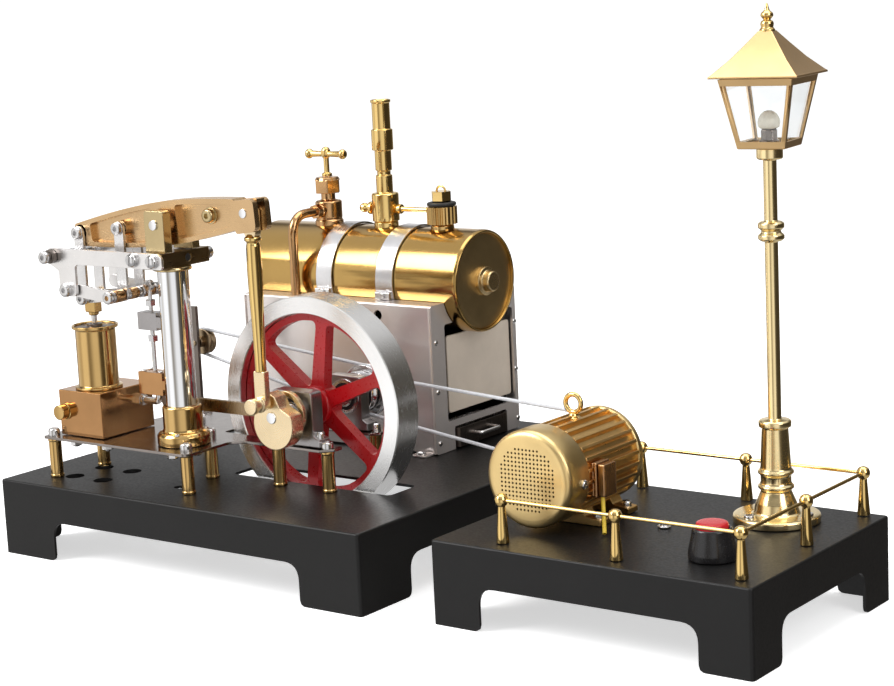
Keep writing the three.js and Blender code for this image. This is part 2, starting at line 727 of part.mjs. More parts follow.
// ---- the idler pulley and its post ----
const IDLER = { x: 38.6, z: 81 };
const IDLER_Y = BELT_Y + 5.2;
const post = join(
  box(37, 40.6, 86.6, 88.4, TABLE_TOP + GAP, 98),
  box(38.4, 45, 82.6, 88.4, TABLE_TOP + GAP, TABLE_TOP + 1.6),
);
node("idler_post", cut(post, bar("y", IDLER, 1.2 + RUN, 80, 100, 12)), "bronze");
const idler = join(
  groovedPulley(IDLER, IDLER_Y, 5.4, 2.1, 0.5),
  bar("y", IDLER, 1.2, 86, 96.4, 12),
  bar("y", IDLER, 2.4, 89, 91.4, 12),
);
node("idler_pulley", idler, "brass");

// ---- belts: a round cord round two grooved pulleys ----
function beltLoop(p, rp, q, rq, y, r) {
  const dx = q.x - p.x;
  const dz = q.z - p.z;
  const length = Math.hypot(dx, dz);
  const along = Math.atan2(dz, dx);
  const lean = Math.asin((rp - rq) / length);
  const at = (c, rad, a) => new THREE.Vector3(c.x + rad * Math.cos(a), y, c.z + rad * Math.sin(a));
  const topAngle = along + Math.PI / 2 - lean;
  const bottomAngle = along - Math.PI / 2 + lean;
  const points = [];
  const arcP = 11;
  const arcQ = 11;
  const wrapQ = Math.PI - 2 * lean; // how far the cord goes round the second pulley
  const wrapP = 2 * Math.PI - wrapQ;
  for (let i = 0; i <= arcP; i += 1) points.push(at(p, rp, topAngle + (wrapP * i) / arcP));
  for (let i = 0; i <= arcQ; i += 1) points.push(at(q, rq, bottomAngle + (wrapQ * i) / arcQ));
  // A ring of corners round the cord at each point, joined to the next ring.
  const count = points.length;
  const ring = (k) => {
    const before = points[(k + count - 1) % count];
    const here = points[k % count];
    const after = points[(k + 1) % count];
    const tangent = after.clone().sub(before).normalize();
    const side = new THREE.Vector3(0, 1, 0);
    const out = new THREE.Vector3().crossVectors(tangent, side).normalize();
    const corners = [];
    for (let s = 0; s < 6; s += 1) {
      const a = (2 * Math.PI * s) / 6;
      const corner = here.clone();
      corner.addScaledVector(side, r * Math.cos(a));
      corner.addScaledVector(out, r * Math.sin(a));
      corners.push(corner);
    }
    return corners;
  };
  const rings = points.map((_, k) => ring(k));
  const positions = [];
  const push = (...corners) => corners.forEach((c) => positions.push(c.x, c.y, c.z));
  rings.forEach((here, k) => {
    const next = rings[(k + 1) % count];
    for (let s = 0; s < 6; s += 1) {
      const t = (s + 1) % 6;
      push(here[s], next[t], next[s]);
      push(here[s], here[t], next[t]);
    }
  });
  const geometry = new THREE.BufferGeometry();
  geometry.setAttribute("position", new THREE.Float32BufferAttribute(positions, 3));
  return solid(geometry);
}
const MOTOR_PULLEY_R = 12.5;
const cordR = 0.75;
const ride = 0.35; // how far outside the groove's floor the cord's middle runs
const driveLoop = beltLoop(SHAFT, 8 + ride, MOTOR, MOTOR_PULLEY_R + ride, BELT_Y, cordR);
node("generator_belt", driveLoop, "cord", 0, 0.6);
node("idler_belt", beltLoop(IDLER, 5.4 + ride, SHAFT, 10.4 + ride, IDLER_Y, cordR), "cord", 0, 0.6);

// ---- firebox and boiler ----
const wall = 1.2;
const f = FIREBOX;
const boilerAt = { y: BOILER.y, z: BOILER.z };
let firebox = cut(
  box(f.x0, f.x1, f.y0, f.y1, BASE_H + GAP, f.top),
  box(f.x0 + wall, f.x1 - wall, f.y0 + wall, f.y1 - wall, BASE_H - 1, f.top - wall),
  bar("x", boilerAt, BOILER.r + 0.5, f.x0 - 5, f.x1 + 5, 64),
);
const sideOpening = (x0, x1) => {
  const shape = outline([
    [f.y0 + 6.5, 46.5, 1],
    [f.y1 - 4, 46.5, 1],
    [f.y1 - 4, 90, 1],
    [f.y0 + 6.5, 90, 1],
  ]);
  return plateXZ(shape, -x1, -x0).rotate([0, 0, 90]);
};
const trayMouth = box(f.x1 - 5, f.x1 + 5, f.y0 + 14, f.y1 - 10, 33, 43.6);
firebox = cut(
  firebox,
  sideOpening(f.x1 - 5, f.x1 + 5),
  trayMouth,
  bar("y", { x: 120.8, z: 94 }, 2.2, f.y0 - 3, f.y0 + 3, 16),
  plateXZ(linkShape({ x: 146, z: 62.5 }, { x: 146, z: 81.5 }, 0.9), f.y0 - 3, f.y0 + 3, [], 4),
  bar("z", { x: 69.4, y: 123.4 }, 2.6, f.top - 4, f.top + 2, 14),
);
const shield = outline([
  [f.y0 + 10, 48.5, 1],
  [f.y1 - 6, 48.5, 1],
  [f.y1 - 5.5, 82.5, 1],
  [f.y0 + 10.5, 82.5, 1],
]);
const shieldPanel = join(
  plateXZ(shield, -(f.x1 - 3.2), -(f.x1 - 4.4)).rotate([0, 0, 90]),
  box(f.x1 - 4.4, f.x1 - 3.2, f.y1 - 8, f.y1 - 2.4, 56, 60),
  box(f.x1 - 4.4, f.x1 - 1, f.y1 - 3.6, f.y1 - 2.4, 56, 60),
  box(f.x1 - 4.4, f.x1 - 3.2, f.y1 - 8, f.y1 - 2.4, 73, 77),
  box(f.x1 - 4.4, f.x1 - 1, f.y1 - 3.6, f.y1 - 2.4, 73, 77),
);
node("firebox", join(firebox, shieldPanel), "steel");
const trayOut = box(96, f.x1 + 1.6, f.y0 + 15, f.y1 - 11, 34, 42.6);
const trayIn = box(97.2, f.x1 + 0.4, f.y0 + 16.2, f.y1 - 12.2, 35.2, 44);
let tray = cut(trayOut, trayIn);
for (let i = 0; i < 4; i += 1) {
  const x = 105 + i * 12;
  tray = join(tray, box(x, x + 2.4, f.y0 + 15.5, f.y1 - 11.5, 40.4, 42));
}
tray = join(tray, box(f.x1 + 1.5, f.x1 + 5, 146, 154, 37.4, 39));
node("burner_tray", tray, "bronze", 0.6, 0.6);

const shell = [
  [0, BOILER.x0],
  [15, BOILER.x0],
  [BOILER.r - 1.2, BOILER.x0 + 0.2],
  [BOILER.r, BOILER.x0 + 1.4],
  [BOILER.r, BOILER.x1 - 1.6],
  [BOILER.r - 0.6, BOILER.x1 - 0.8],
  [BOILER.r - 1.2, BOILER.x1 - 1.4],
  [6.4, BOILER.x1 - 1.1],
  [6.4, BOILER.x1 + 0.8],
  [0, BOILER.x1 + 0.8],
];
const water = [
  [0, BOILER.x0 + 2],
  [BOILER.r - 1.6, BOILER.x0 + 2],
  [BOILER.r - 1.6, BOILER.x1 - 4],
  [0, BOILER.x1 - 4],
];
const BOILER_TOP = BOILER.z + BOILER.r;
const STEAM_VALVE = { x: 69.4, y: BOILER.y };
const WHISTLE = { x: 103, y: BOILER.y };
const SAFETY = { x: 134.8, y: BOILER.y };
const stubHoles = [STEAM_VALVE, WHISTLE, SAFETY].map((at) => bar("z", at, 2.6, 110, 140, 16));
const plug = [
  [0, BOILER.x1 + 0.4],
  [4.6, BOILER.x1 + 0.4],
  [4.6, BOILER.x1 + 3.8],
  [4, BOILER.x1 + 4.4],
  [0, BOILER.x1 + 4.4],
];
const barrel = cut(turned("x", boilerAt, shell, 64), turned("x", boilerAt, water, 32), ...stubHoles);
node("boiler", join(barrel, turned("x", boilerAt, plug, 24)), "gold");
// A strap round the boiler's upper half, with its ends folded down to a clamp screw.
function strapRound(x0, x1) {
  const ring = tube("x", boilerAt, BOILER.r + 1.2, BOILER.r + 0.4, x0, x1, 64);
  const above = box(x0 - 1, x1 + 1, BOILER.y - 40, BOILER.y + 40, 98.4, 140);
  const lug = box(x0 + 2, x1 - 2, BOILER.y - BOILER.r - 3.4, BOILER.y - BOILER.r + 1.6, 98.4, 99.9);
  const inside = bar("x", boilerAt, BOILER.r + 0.4, x0 - 2, x1 + 2, 64);
  const rear = box(x0 + 2, x1 - 2, BOILER.y + BOILER.r - 1.6, BOILER.y + BOILER.r + 3.4, 98.4, 99.9);
  return cut(ring.intersect(above).add(lug).add(rear), inside);
}
const strapHoleFree = (manifold) => cut(manifold, box(60, 75, 118, 126.2, 90, 110));
node("boiler_strap_left", strapHoleFree(strapRound(79.4, 88.4)), "steel");
node("boiler_strap_right", strapRound(113.8, 123.2), "steel");
["boiler_strap_left", "boiler_strap_right"].forEach((name) => {
  const mesh = group.getObjectByName(name);
  const clear = box(40, 152, 100, 200, 60, f.top + 0.25);
  mesh.geometry = geometryOf(cut(solid(mesh.geometry), clear));
});

// ---- boiler fittings ----
const onBoiler = (at) => bar("x", boilerAt, BOILER.r + GAP, at.x - 12, at.x + 12, 64);
const spigot = (at) => bar("z", at, 2.3, 124, 131, 14);
const fitting = (at, body) => join(cut(body, onBoiler(at)), spigot(at));
const valveBody = cut(
  fitting(
    STEAM_VALVE,
    join(
      turned(
        "z",
        STEAM_VALVE,
        [
          [0, 126],
          [6.6, 126],
          [6.6, 131],
          [6.2, 131.4],
          [6.2, 139.6],
          [5.6, 140.4],
          [3.3, 140.6],
          [3.3, 143.4],
          [0, 143.4],
        ],
        24,
      ),
      bar("z", STEAM_VALVE, 6.3, 143.2, 150.8, 6),
      bar("y", { x: STEAM_VALVE.x, z: 135.6 }, 3, 142.6, 145, 14),
    ),
  ),
  bar("z", STEAM_VALVE, 1.3 + RUN, 137, 152, 14),
);
node("steam_valve_body", valveBody, "copper");
const handle = join(
  bar("z", STEAM_VALVE, 1.3, 138, 161, 14),
  turned(
    "x",
    { y: STEAM_VALVE.y, z: 161.2 },
    [
      [0, STEAM_VALVE.x - 11.8],
      [1.5, STEAM_VALVE.x - 11.6],
      [1.9, STEAM_VALVE.x - 10.4],
      [1.1, STEAM_VALVE.x - 4],
      [1.5, STEAM_VALVE.x],
      [1.1, STEAM_VALVE.x + 4],
      [1.9, STEAM_VALVE.x + 10.4],
      [1.5, STEAM_VALVE.x + 11.6],
      [0, STEAM_VALVE.x + 11.8],
    ],
    14,
  ),
  turned(
    "z",
    STEAM_VALVE,
    [
      [0, 160],
      [1.7, 160],
      [1.9, 163.2],
      [1.4, 164.6],
      [0, 165],
    ],
    14,
  ),
);
node("steam_valve_handle", handle, "gold");
const pipePath = new THREE.CurvePath();
const pp = (y, z) => new THREE.Vector3(STEAM_VALVE.x, y, z);
pipePath.add(new THREE.LineCurve3(pp(142.3, 135.6), pp(133.9, 135.6)));
pipePath.add(new THREE.QuadraticBezierCurve3(pp(133.9, 135.6), pp(123.4, 135.6), pp(123.4, 125.1)));
pipePath.add(new THREE.LineCurve3(pp(123.4, 125.1), pp(123.4, 92)));
node("steam_pipe", sweptOn(pipePath, 2.2, 10, 14), "copper");

const whistleTube = [
  [0, 126],
  [5.6, 126],
  [5.6, 131],
  [6.2, 131.4],
  [6.2, 143.8],
  [5.6, 144.4],
  [3.8, 144.6],
  [3.8, 163.4],
  [4.9, 163.6],
  [4.9, 173],
  [4.1, 173.2],
  [4.1, 185.4],
  [4.7, 185.8],
  [4.7, 186.5],
  [0, 186.5],
];
const whistle = cut(
  fitting(WHISTLE, turned("z", WHISTLE, whistleTube, 24)),
  bar("z", WHISTLE, 2.9, 147, 190, 16),
  box(WHISTLE.x - 6, WHISTLE.x + 1.4, WHISTLE.y - 6, WHISTLE.y + 1, 152.4, 154.6),
  bar("x", { y: BOILER.y, z: 137 }, 1.2 + RUN, 80, 120, 12),
);
node("whistle", whistle, "gold");
const whistleRod = join(
  turned(
    "x",
    { y: BOILER.y, z: 137 },
    [
      [0, 89],
      [1.6, 89.4],
      [2.3, 90.8],
      [1.6, 92.4],
      [1.1, 92.8],
      [1.1, 127],
      [0, 127.4],
    ],
    14,
  ),
  bar("x", { y: BOILER.y, z: 137 }, 2.9, 94, 96.2, 12),
  bar("x", { y: BOILER.y, z: 137 }, 2.2, 110.2, 112.4, 12),
);
node("whistle_lever", whistleRod, "brass");

const safetyProfile = [
  [0, 126],
  [5.3, 126],
  [5.3, 130.6],
  [6.9, 131],
  [6.9, 139.4],
  [0, 139.4],
];
const safetyBody = turned("z", SAFETY, safetyProfile, 24);
const ribCut = (i) => {
  const a = (i * 2 * Math.PI) / 12;
  return bar("z", { x: SAFETY.x + 7.4 * Math.cos(a), y: SAFETY.y + 7.4 * Math.sin(a) }, 0.9, 130.9, 140, 6);
};
const safetyCuts = Array.from({ length: 12 }, (_, i) => ribCut(i));
node(
  "safety_valve_body",
  cut(
    join(fitting(SAFETY, cut(safetyBody, ...safetyCuts)), bar("z", SAFETY, 6.6, 139.2, 141, 24)),
    bar("z", SAFETY, 1.8 + RUN, 134, 143, 14),
  ),
  "brass",
);
// A ring of round wire standing on edge, facing the front.
function standingRing(at, z, r, wire) {
  const ring = new THREE.TorusGeometry(r, wire, 6, 16);
  ring.rotateX(Math.PI / 2);
  ring.translate(at.x, at.y, z);
  return solid(ring);
}
const safetyCap = join(
  bar("z", SAFETY, 1.8, 135.5, 142, 14),
  bar("z", SAFETY, 4.8, 141.4, 146, 6),
  standingRing(SAFETY, 146, 2.4, 0.5),
);
node("safety_valve_cap", safetyCap, "gold");

// ---- generator ----
const m = MOTOR;
const motorBody = (() => {
  const shellProfile = [
    [0, m.y0 + 14.5],
    [m.r - 1.8, m.y0 + 14.5],
    [m.r - 1.8, m.y1 - 4],
    [m.r - 0.6, m.y1 - 4],
    [m.r - 0.6, m.y1 - 1],
    [m.r - 2, m.y1],
    [0, m.y1],
  ];
  let made = turned("y", m, shellProfile, 32);
  const fins = 18;
  for (let i = 0; i < fins; i += 1) {
    const a = (2 * Math.PI * (i + 0.5)) / fins;
    const corners = [
      [m.r - 3.5, -0.55],
      [m.r - 0.3, -0.45],
      [m.r - 0.3, 0.45],
      [m.r - 3.5, 0.55],
    ].map(([u, v]) => [m.x + u * Math.cos(a) - v * Math.sin(a), m.z + u * Math.sin(a) + v * Math.cos(a), 0]);
    made = join(made, plateXZ(outline(corners), m.y0 + 14.8, m.y1 - 3.5));
  }
  const foot = (side) =>
    join(
      box(m.x + side * 13 - 7.5, m.x + side * 13 + 7.5, 50, 79, BASE_H + GAP, 36.2),
      box(m.x + side * 9 - 3, m.x + side * 9 + 3, 50, 79, 35, 43),
    );
  const terminal = box(m.x + 12, 281.8, 48, 57.5, 45, 58.5);
  made = join(made, foot(-1), foot(1), terminal);
  return cut(
    made,
    bar("y", m, 3.2, m.y1 - 8, m.y1 + 2, 16),
    bar("z", { x: 279.5, y: 50 }, 1.2, 44, 47, 10),
  );
})();
const coverProfile = [
  [0, m.y0],
  [m.r - 2.6, m.y0],
  [m.r - 0.8, m.y0 + 0.8],
  [m.r, m.y0 + 2.6],
  [m.r, m.y0 + 14.2],
  [0, m.y0 + 14.2],
];
node("generator_cover", turned("y", m, coverProfile, 40), "gold");
const EYE = { x: m.x, y: 64.2 };
const motorTop = m.z + m.r;
const eyeFoot = [
  [0, motorTop - 4.5],
  [1.1, motorTop - 4.5],
  [1.1, motorTop - 0.4],
  [2.4, motorTop - 0.4],
  [1.3, motorTop + 1.2],
  [0, motorTop + 1.2],
];
const eye = join(standingRing(EYE, motorTop + 4.2, 3.5, 1), turned("z", EYE, eyeFoot, 12));
node("generator_body", join(motorBody, eye), "gold");
const rotor = join(
  groovedPulley(m, BELT_Y, MOTOR_PULLEY_R, 2.1),
  bar("y", m, 2.9, m.y1 - 7, BELT_Y + 3.4, 16),
);
node("generator_pulley", rotor, "steel");
const wirePath = new THREE.CatmullRomCurve3([
  new THREE.Vector3(279.5, 50, 45.6),
  new THREE.Vector3(280.2, 48.9, 43),
  new THREE.Vector3(283.6, 43.9, 37.6),
  new THREE.Vector3(285, 41.8, BASE_H + 1),
]);
node("generator_wire", sweptOn(wirePath, 0.8, 6, 7), "yellow", 0, 0.5);

// ---- fence ----
const POSTS = [
  [259.6, 110.6],
  [307.3, 110.6],
  [357.3, 110.6],
  [357.3, 64],
  [357.3, 15.6],
  [306.6, 15.6],
  [257, 15.6],
];
const POST_TOP = 49.5;
const postProfile = [
  [0, BASE_H + GAP],
  [2.5, BASE_H + GAP],
  [1.45, 47.2],
  [2, 47.6],
  [2.6, 48.9],
  [2.6, 50.1],
  [1.9, 51.5],
  [0, 52.1],
];
const fencePosts = POSTS.map(([x, y]) => turned("z", { x, y }, postProfile, 12));
const rails = [];
for (let i = 0; i + 1 < POSTS.length; i += 1) {
  const [x0, y0] = POSTS[i];
  const [x1, y1] = POSTS[i + 1];
  const lengthways = Math.abs(y1 - y0) < 1;
  const axis = lengthways ? "x" : "y";
  const [from, to] = lengthways ? [x0, x1] : [y0, y1];
  const at = { x: x0, y: y0, z: POST_TOP };
  rails.push(bar(axis, at, 0.7, Math.min(from, to), Math.max(from, to), 8));
}
node("fence", join(...fencePosts, ...rails), "gold");

// ---- push button ----
const buttonBody = [
  [0, BASE_H + GAP],
  [8.9, BASE_H + GAP],
  [8.7, 36],
  [7.3, 44.2],
  [7, 44.8],
  [0, 44.8],
];
node(
  "button_body",
  cut(turned("z", BUTTON, buttonBody, 32), bar("z", BUTTON, 6.25, 38, 46, 28)),
  "rubber",
  0,
  0.5,
);
const buttonCap = [
  [0, 41.4],
  [5.95, 41.4],
  [5.95, 46.2],
  [5.3, 46.8],
  [0, 46.8],
];
node("button_cap", turned("z", BUTTON, buttonCap, 28), "red", 0, 0.4);

// ---- lamp post ----
const lampProfile = [
  [0, BASE_H + GAP],
  [16.6, BASE_H + GAP],
  [16.6, 35.6],
  [16, 36.2],
  [8.6, 36.6],
  [8.2, 38],
  [7.2, 41.5],
  [5.8, 44.6],
  [5.8, 45.4],
  [6.8, 46.2],
  [6.8, 47],
  [5.9, 47.8],
  [5.9, 51],
  [6.8, 52],
  [6.2, 53.4],
  [5.8, 54.2],
  [5, 69.4],
  [6.2, 69.8],
  [6.2, 71.8],
  [5, 72.2],
  [2.5, 72.4],
  [2.5, 139.4],
  [4.9, 140],
  [4.9, 142],
  [3.9, 143.2],
  [4.9, 144.4],
  [4.9, 146.4],
  [2.5, 147],
  [2.5, 169.6],
  [4.9, 169.9],
  [4.9, 174],
  [0, 174],
];
node("lamp_post", turned("z", LAMP, lampProfile, 28), "gold");

// The lantern is turned a little about the post.
const LANTERN_TURN = 8;
const square = (half, z) => ({ half, z });
function frustum(levels) {
  const positions = [];
  const corner = (level, k) => {
    const sx = k === 0 || k === 3 ? -1 : 1;
    const sy = k < 2 ? -1 : 1;
    return [sx * level.half, sy * level.half, level.z];
  };
  const push = (...corners) => corners.forEach((c) => positions.push(...c));
  for (let i = 0; i + 1 < levels.length; i += 1) {
    for (let k = 0; k < 4; k += 1) {
      const n = (k + 1) % 4;
      const a = corner(levels[i], k);
      const b = corner(levels[i], n);
      const c = corner(levels[i + 1], n);
      const d = corner(levels[i + 1], k);
      push(a, b, c);
      push(a, c, d);
    }
  }
  const low = levels[0];
  const high = levels[levels.length - 1];
  push(corner(low, 0), corner(low, 2), corner(low, 1));
  push(corner(low, 0), corner(low, 3), corner(low, 2));
  push(corner(high, 0), corner(high, 1), corner(high, 2));
  push(corner(high, 0), corner(high, 2), corner(high, 3));
  const geometry = new THREE.BufferGeometry();
  geometry.setAttribute("position", new THREE.Float32BufferAttribute(positions, 3));
  return solid(geometry);
}
const placed = (manifold) => manifold.rotate([0, 0, LANTERN_TURN]).translate([LAMP.x, LAMP.y, 0]);
const BOTTOM = { half: 9.15, z: 174.6 };
const TOP = { half: 14.2, z: 199.9 };
const widthAt = (z) => BOTTOM.half + ((TOP.half - BOTTOM.half) * (z - BOTTOM.z)) / (TOP.z - BOTTOM.z);
const cage = (() => {
  const outer = frustum([square(widthAt(174.3), 174.3), square(TOP.half, TOP.z)]);
  const inner = frustum([square(widthAt(175.8) - 1.2, 175.8), square(widthAt(203) - 1.2, 203)]);
  let made = cut(outer, inner);
  const window = (turn) => {
    const z0 = 176.8;
    const z1 = 197.6;
    const low = widthAt(z0) - 2;
    const high = widthAt(z1) - 2;
    const shape = outline([
      [-low, z0, 0],
      [low, z0, 0],
      [high, z1, 0],
      [-high, z1, 0],
    ]);
    return plateXZ(shape, 0.5, 30).rotate([0, 0, turn]);
  };
  for (let k = 0; k < 4; k += 1) made = cut(made, window(90 * k));
  return made;
})();
const CENTRE = { x: 0, y: 0 };
const socketProfile = [
  [0, 176.1],
  [3, 176.1],
  [3, 180.6],
  [2.4, 181],
  [0, 181],
];
node("lantern_frame", placed(cage), "gold");
const paneOuter = frustum([square(widthAt(176.1) - 1.35, 176.1), square(widthAt(199.4) - 1.35, 199.4)]);
const paneInner = frustum([square(widthAt(176) - 1.75, 175.9), square(widthAt(199.9) - 1.75, 199.9)]);
node("lantern_glass", placed(cut(paneOuter, paneInner)), "glass", 0, 0.05);
const bulbProfile = [
  [0, 180.8],
  [3.9, 181],
  [4.2, 183],
  [3.5, 185.4],
  [1.8, 187.2],
  [0, 187.8],
];
const bulb = join(turned("z", CENTRE, socketProfile, 18), turned("z", CENTRE, bulbProfile, 18));
node("lamp_bulb", placed(bulb), "glass", 0, 0.3);
const roofOuter = frustum([
  square(17, 200.2),
  square(17, 201),
  square(11, 206.5),
  square(6.2, 212.1),
  square(2.6, 216.6),
]);
const roofInner = frustum([square(15.4, 199), square(15.4, 200.8), square(10.2, 205.2), square(5.4, 210.8)]);
const finialProfile = [
  [0, 216],
  [2.8, 216.2],
  [2.2, 217.6],
  [2.4, 219.4],
  [1.2, 220.2],
  [2.4, 221.2],
  [2.2, 222.6],
  [1, 223.8],
  [0.4, 226.2],
  [0, 226.4],
];
const finial = turned("z", CENTRE, finialProfile, 14);
node("lantern_roof", placed(join(cut(roofOuter, roofInner), finial)), "gold");

export default group;
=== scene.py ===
"""A model beam engine with its boiler on one black base, driving a generator and a lamp on another."""

import math

import bmesh
import bpy
from mathutils import Matrix, Vector
from mathutils.geometry import tessellate_polygon


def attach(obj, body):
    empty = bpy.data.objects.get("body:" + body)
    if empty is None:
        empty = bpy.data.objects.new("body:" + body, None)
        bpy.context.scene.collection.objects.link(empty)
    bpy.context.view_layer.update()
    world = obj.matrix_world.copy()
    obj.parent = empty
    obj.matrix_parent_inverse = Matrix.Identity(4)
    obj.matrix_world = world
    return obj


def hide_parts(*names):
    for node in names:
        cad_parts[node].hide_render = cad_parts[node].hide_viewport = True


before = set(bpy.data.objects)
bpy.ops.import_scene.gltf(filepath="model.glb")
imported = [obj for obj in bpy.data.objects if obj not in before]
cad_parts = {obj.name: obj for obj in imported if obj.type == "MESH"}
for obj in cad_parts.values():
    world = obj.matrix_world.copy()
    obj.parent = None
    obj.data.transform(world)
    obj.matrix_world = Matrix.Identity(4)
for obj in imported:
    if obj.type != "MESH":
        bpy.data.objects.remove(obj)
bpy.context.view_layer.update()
DONE = set()

# ---------------------------------------------------------------- places
# Millimetres from the engine base's front left corner: X along the front, Y to the back, Z up.
FOOTPRINT_CENTRE = (182.9, 97.0)
MM = 0.001

CENTRE_Y = 28.5
BASE_H = 33.0
TABLE_TOP = 51.5
CYLINDER = (36.0, CENTRE_Y)
COLUMN = (84.7, CENTRE_Y)
SHAFT = (132.2, 66.0)
CRANK_PIN = (130.4, 72.3)
FULCRUM = (85.8, 145.3)
BEAM_RIGHT = (130.4, 151.0)
PIN_A = (36.0, 139.7)
PIN_B = (60.2, 142.5)
PIN_C = (36.0, 111.4)
PIN_D = (60.2, 114.2)
PIN_E = (37.0, 116.6)
FRAME_BOLT = (29.8, 130.8)
BELT_Y = 88.0
IDLER_Y = 93.2
IDLER = (38.6, 81.0)
MOTOR = (258.2, 53.6)
BOILER = (150.0, 106.5)
BOILER_R = 22.8
LAMP = (331.9, 89.0)
BUTTON = (336.0, 33.2)


def mirror_y(y):
    return 2 * CENTRE_Y - y


# ---------------------------------------------------------------- materials
def nodes_of(name):
    material = bpy.data.materials.new(name)
    material.use_nodes = True
    tree = material.node_tree
    shader = tree.nodes["Principled BSDF"]
    return material, tree, shader


def link(tree, a, b):
    tree.links.new(a, b)


def maths(tree, kind, a, b=None):
    node = tree.nodes.new("ShaderNodeMath")
    node.operation = kind
    for socket, value in zip(node.inputs, (a, b)):
        if value is None:
            continue
        if isinstance(value, (int, float)):
            socket.default_value = value
        else:
            link(tree, value, socket)
    return node.outputs[0]


def place_in(tree, scale=(1, 1, 1)):
    """The surface's own coordinates, scaled."""
    here = tree.nodes.new("ShaderNodeTexCoord")
    mapping = tree.nodes.new("ShaderNodeMapping")
    mapping.inputs["Scale"].default_value = scale
    link(tree, here.outputs["Object"], mapping.inputs["Vector"])
    return mapping.outputs[0]


def ring_place(tree, axis, centre, scale):
    """Coordinates that are the same all round an axis: the radius and the place along it, scaled."""
    here = tree.nodes.new("ShaderNodeTexCoord")
    shift = tree.nodes.new("ShaderNodeVectorMath")
    shift.operation = "SUBTRACT"
    shift.inputs[1].default_value = centre
    link(tree, here.outputs["Object"], shift.inputs[0])
    split = tree.nodes.new("ShaderNodeSeparateXYZ")
    link(tree, shift.outputs[0], split.inputs[0])
    x, y, z = split.outputs
    p, q, h = {"x": (y, z, x), "y": (x, z, y), "z": (x, y, z)}[axis]
    squares = maths(tree, "ADD", maths(tree, "MULTIPLY", p, p), maths(tree, "MULTIPLY", q, q))
    radius = maths(tree, "SQRT", squares)
    joined = tree.nodes.new("ShaderNodeCombineXYZ")
    link(tree, maths(tree, "MULTIPLY", radius, scale), joined.inputs[0])
    link(tree, maths(tree, "MULTIPLY", h, scale), joined.inputs[1])
    return joined.outputs[0]


def noise(tree, vector, scale, detail=3.0, rough=0.6):
    node = tree.nodes.new("ShaderNodeTexNoise")
    node.inputs["Scale"].default_value = scale
    node.inputs["Detail"].default_value = detail
    node.inputs["Roughness"].default_value = rough
    link(tree, vector, node.inputs["Vector"])
    return node.outputs["Fac"]


def spread(tree, value, low, high):
    """Carries a noise of about 0.3 to 0.7 to the range low to high."""
    node = tree.nodes.new("ShaderNodeMapRange")
    node.inputs["From Min"].default_value = 0.3
    node.inputs["From Max"].default_value = 0.7
    node.inputs["To Min"].default_value = low
    node.inputs["To Max"].default_value = high
    link(tree, value, node.inputs["Value"])
    return node.outputs[0]


def tint(tree, value, dark, light):
    node = tree.nodes.new("ShaderNodeValToRGB")
    node.color_ramp.elements[0].position = 0.3
    node.color_ramp.elements[0].color = (*dark, 1)
    node.color_ramp.elements[1].position = 0.7
    node.color_ramp.elements[1].color = (*light, 1)
    link(tree, value, node.inputs["Fac"])
    return node.outputs["Color"]


def add_bump(tree, shader, heights):
    """Stacks bumps: each is (height, strength, distance in metres)."""
    last = None
    for height, strength, distance in heights:
        bump = tree.nodes.new("ShaderNodeBump")
        bump.inputs["Strength"].default_value = strength
        bump.inputs["Distance"].default_value = distance
        link(tree, height, bump.inputs["Height"])
        if last is not None:
            link(tree, last, bump.inputs["Normal"])
        last = bump.outputs["Normal"]
    link(tree, last, shader.inputs["Normal"])


def metal(
    name, colour, rough, swing=0.06, grain=None, depth=0.1, shade=0.86, anisotropic=0.0, tangent=None,
    metallic=1.0
):
    """A metal: a colour that drifts a little, cloudy marks in the gloss and the tool's own fine lines."""
    material, tree, shader = nodes_of(name)
    shader.inputs["Metallic"].default_value = metallic
    clouds = noise(tree, place_in(tree), 55, 4)
    dark = tuple(c * shade for c in colour)
    link(tree, tint(tree, clouds, dark, colour), shader.inputs["Base Color"])
    lines = grain(tree) if grain else noise(tree, place_in(tree), 1800, 2)
    smear = noise(tree, place_in(tree), 190, 5, 0.7)
    mixed = maths(tree, "ADD", maths(tree, "MULTIPLY", lines, 0.5), maths(tree, "MULTIPLY", smear, 0.5))
    link(tree, spread(tree, mixed, max(0.02, rough - swing), rough + swing), shader.inputs["Roughness"])
    add_bump(tree, shader, [(lines, depth, 0.00002), (smear, depth * 0.4, 0.00006)])
    shader.inputs["Anisotropic"].default_value = anisotropic
    if tangent:
        around = tree.nodes.new("ShaderNodeTangent")
        around.direction_type = "RADIAL"
        around.axis = tangent
        link(tree, around.outputs[0], shader.inputs["Tangent"])
    return material


def brushed(direction):
    """Fine straight lines along X, Y or Z."""
    scale = {"x": (30, 2600, 2600), "y": (2600, 30, 2600), "z": (2600, 2600, 30)}[direction]
    return lambda tree: noise(tree, place_in(tree, scale), 1.0, 3)


RING_SCALE = 5200


def rings(axis, centre):
    """Fine turned rings round an axis through centre, given in millimetres."""
    return lambda tree: noise(tree, ring_place(tree, axis, row(*centre), RING_SCALE), 1.0, 2)


def row(x, y, z):
    return ((x - FOOTPRINT_CENTRE[0]) * MM, (y - FOOTPRINT_CENTRE[1]) * MM, z * MM)


GOLD = (0.86, 0.60, 0.23)
COPPER = (0.60, 0.35, 0.16)
LIGHT_STEEL = (0.80, 0.79, 0.79)


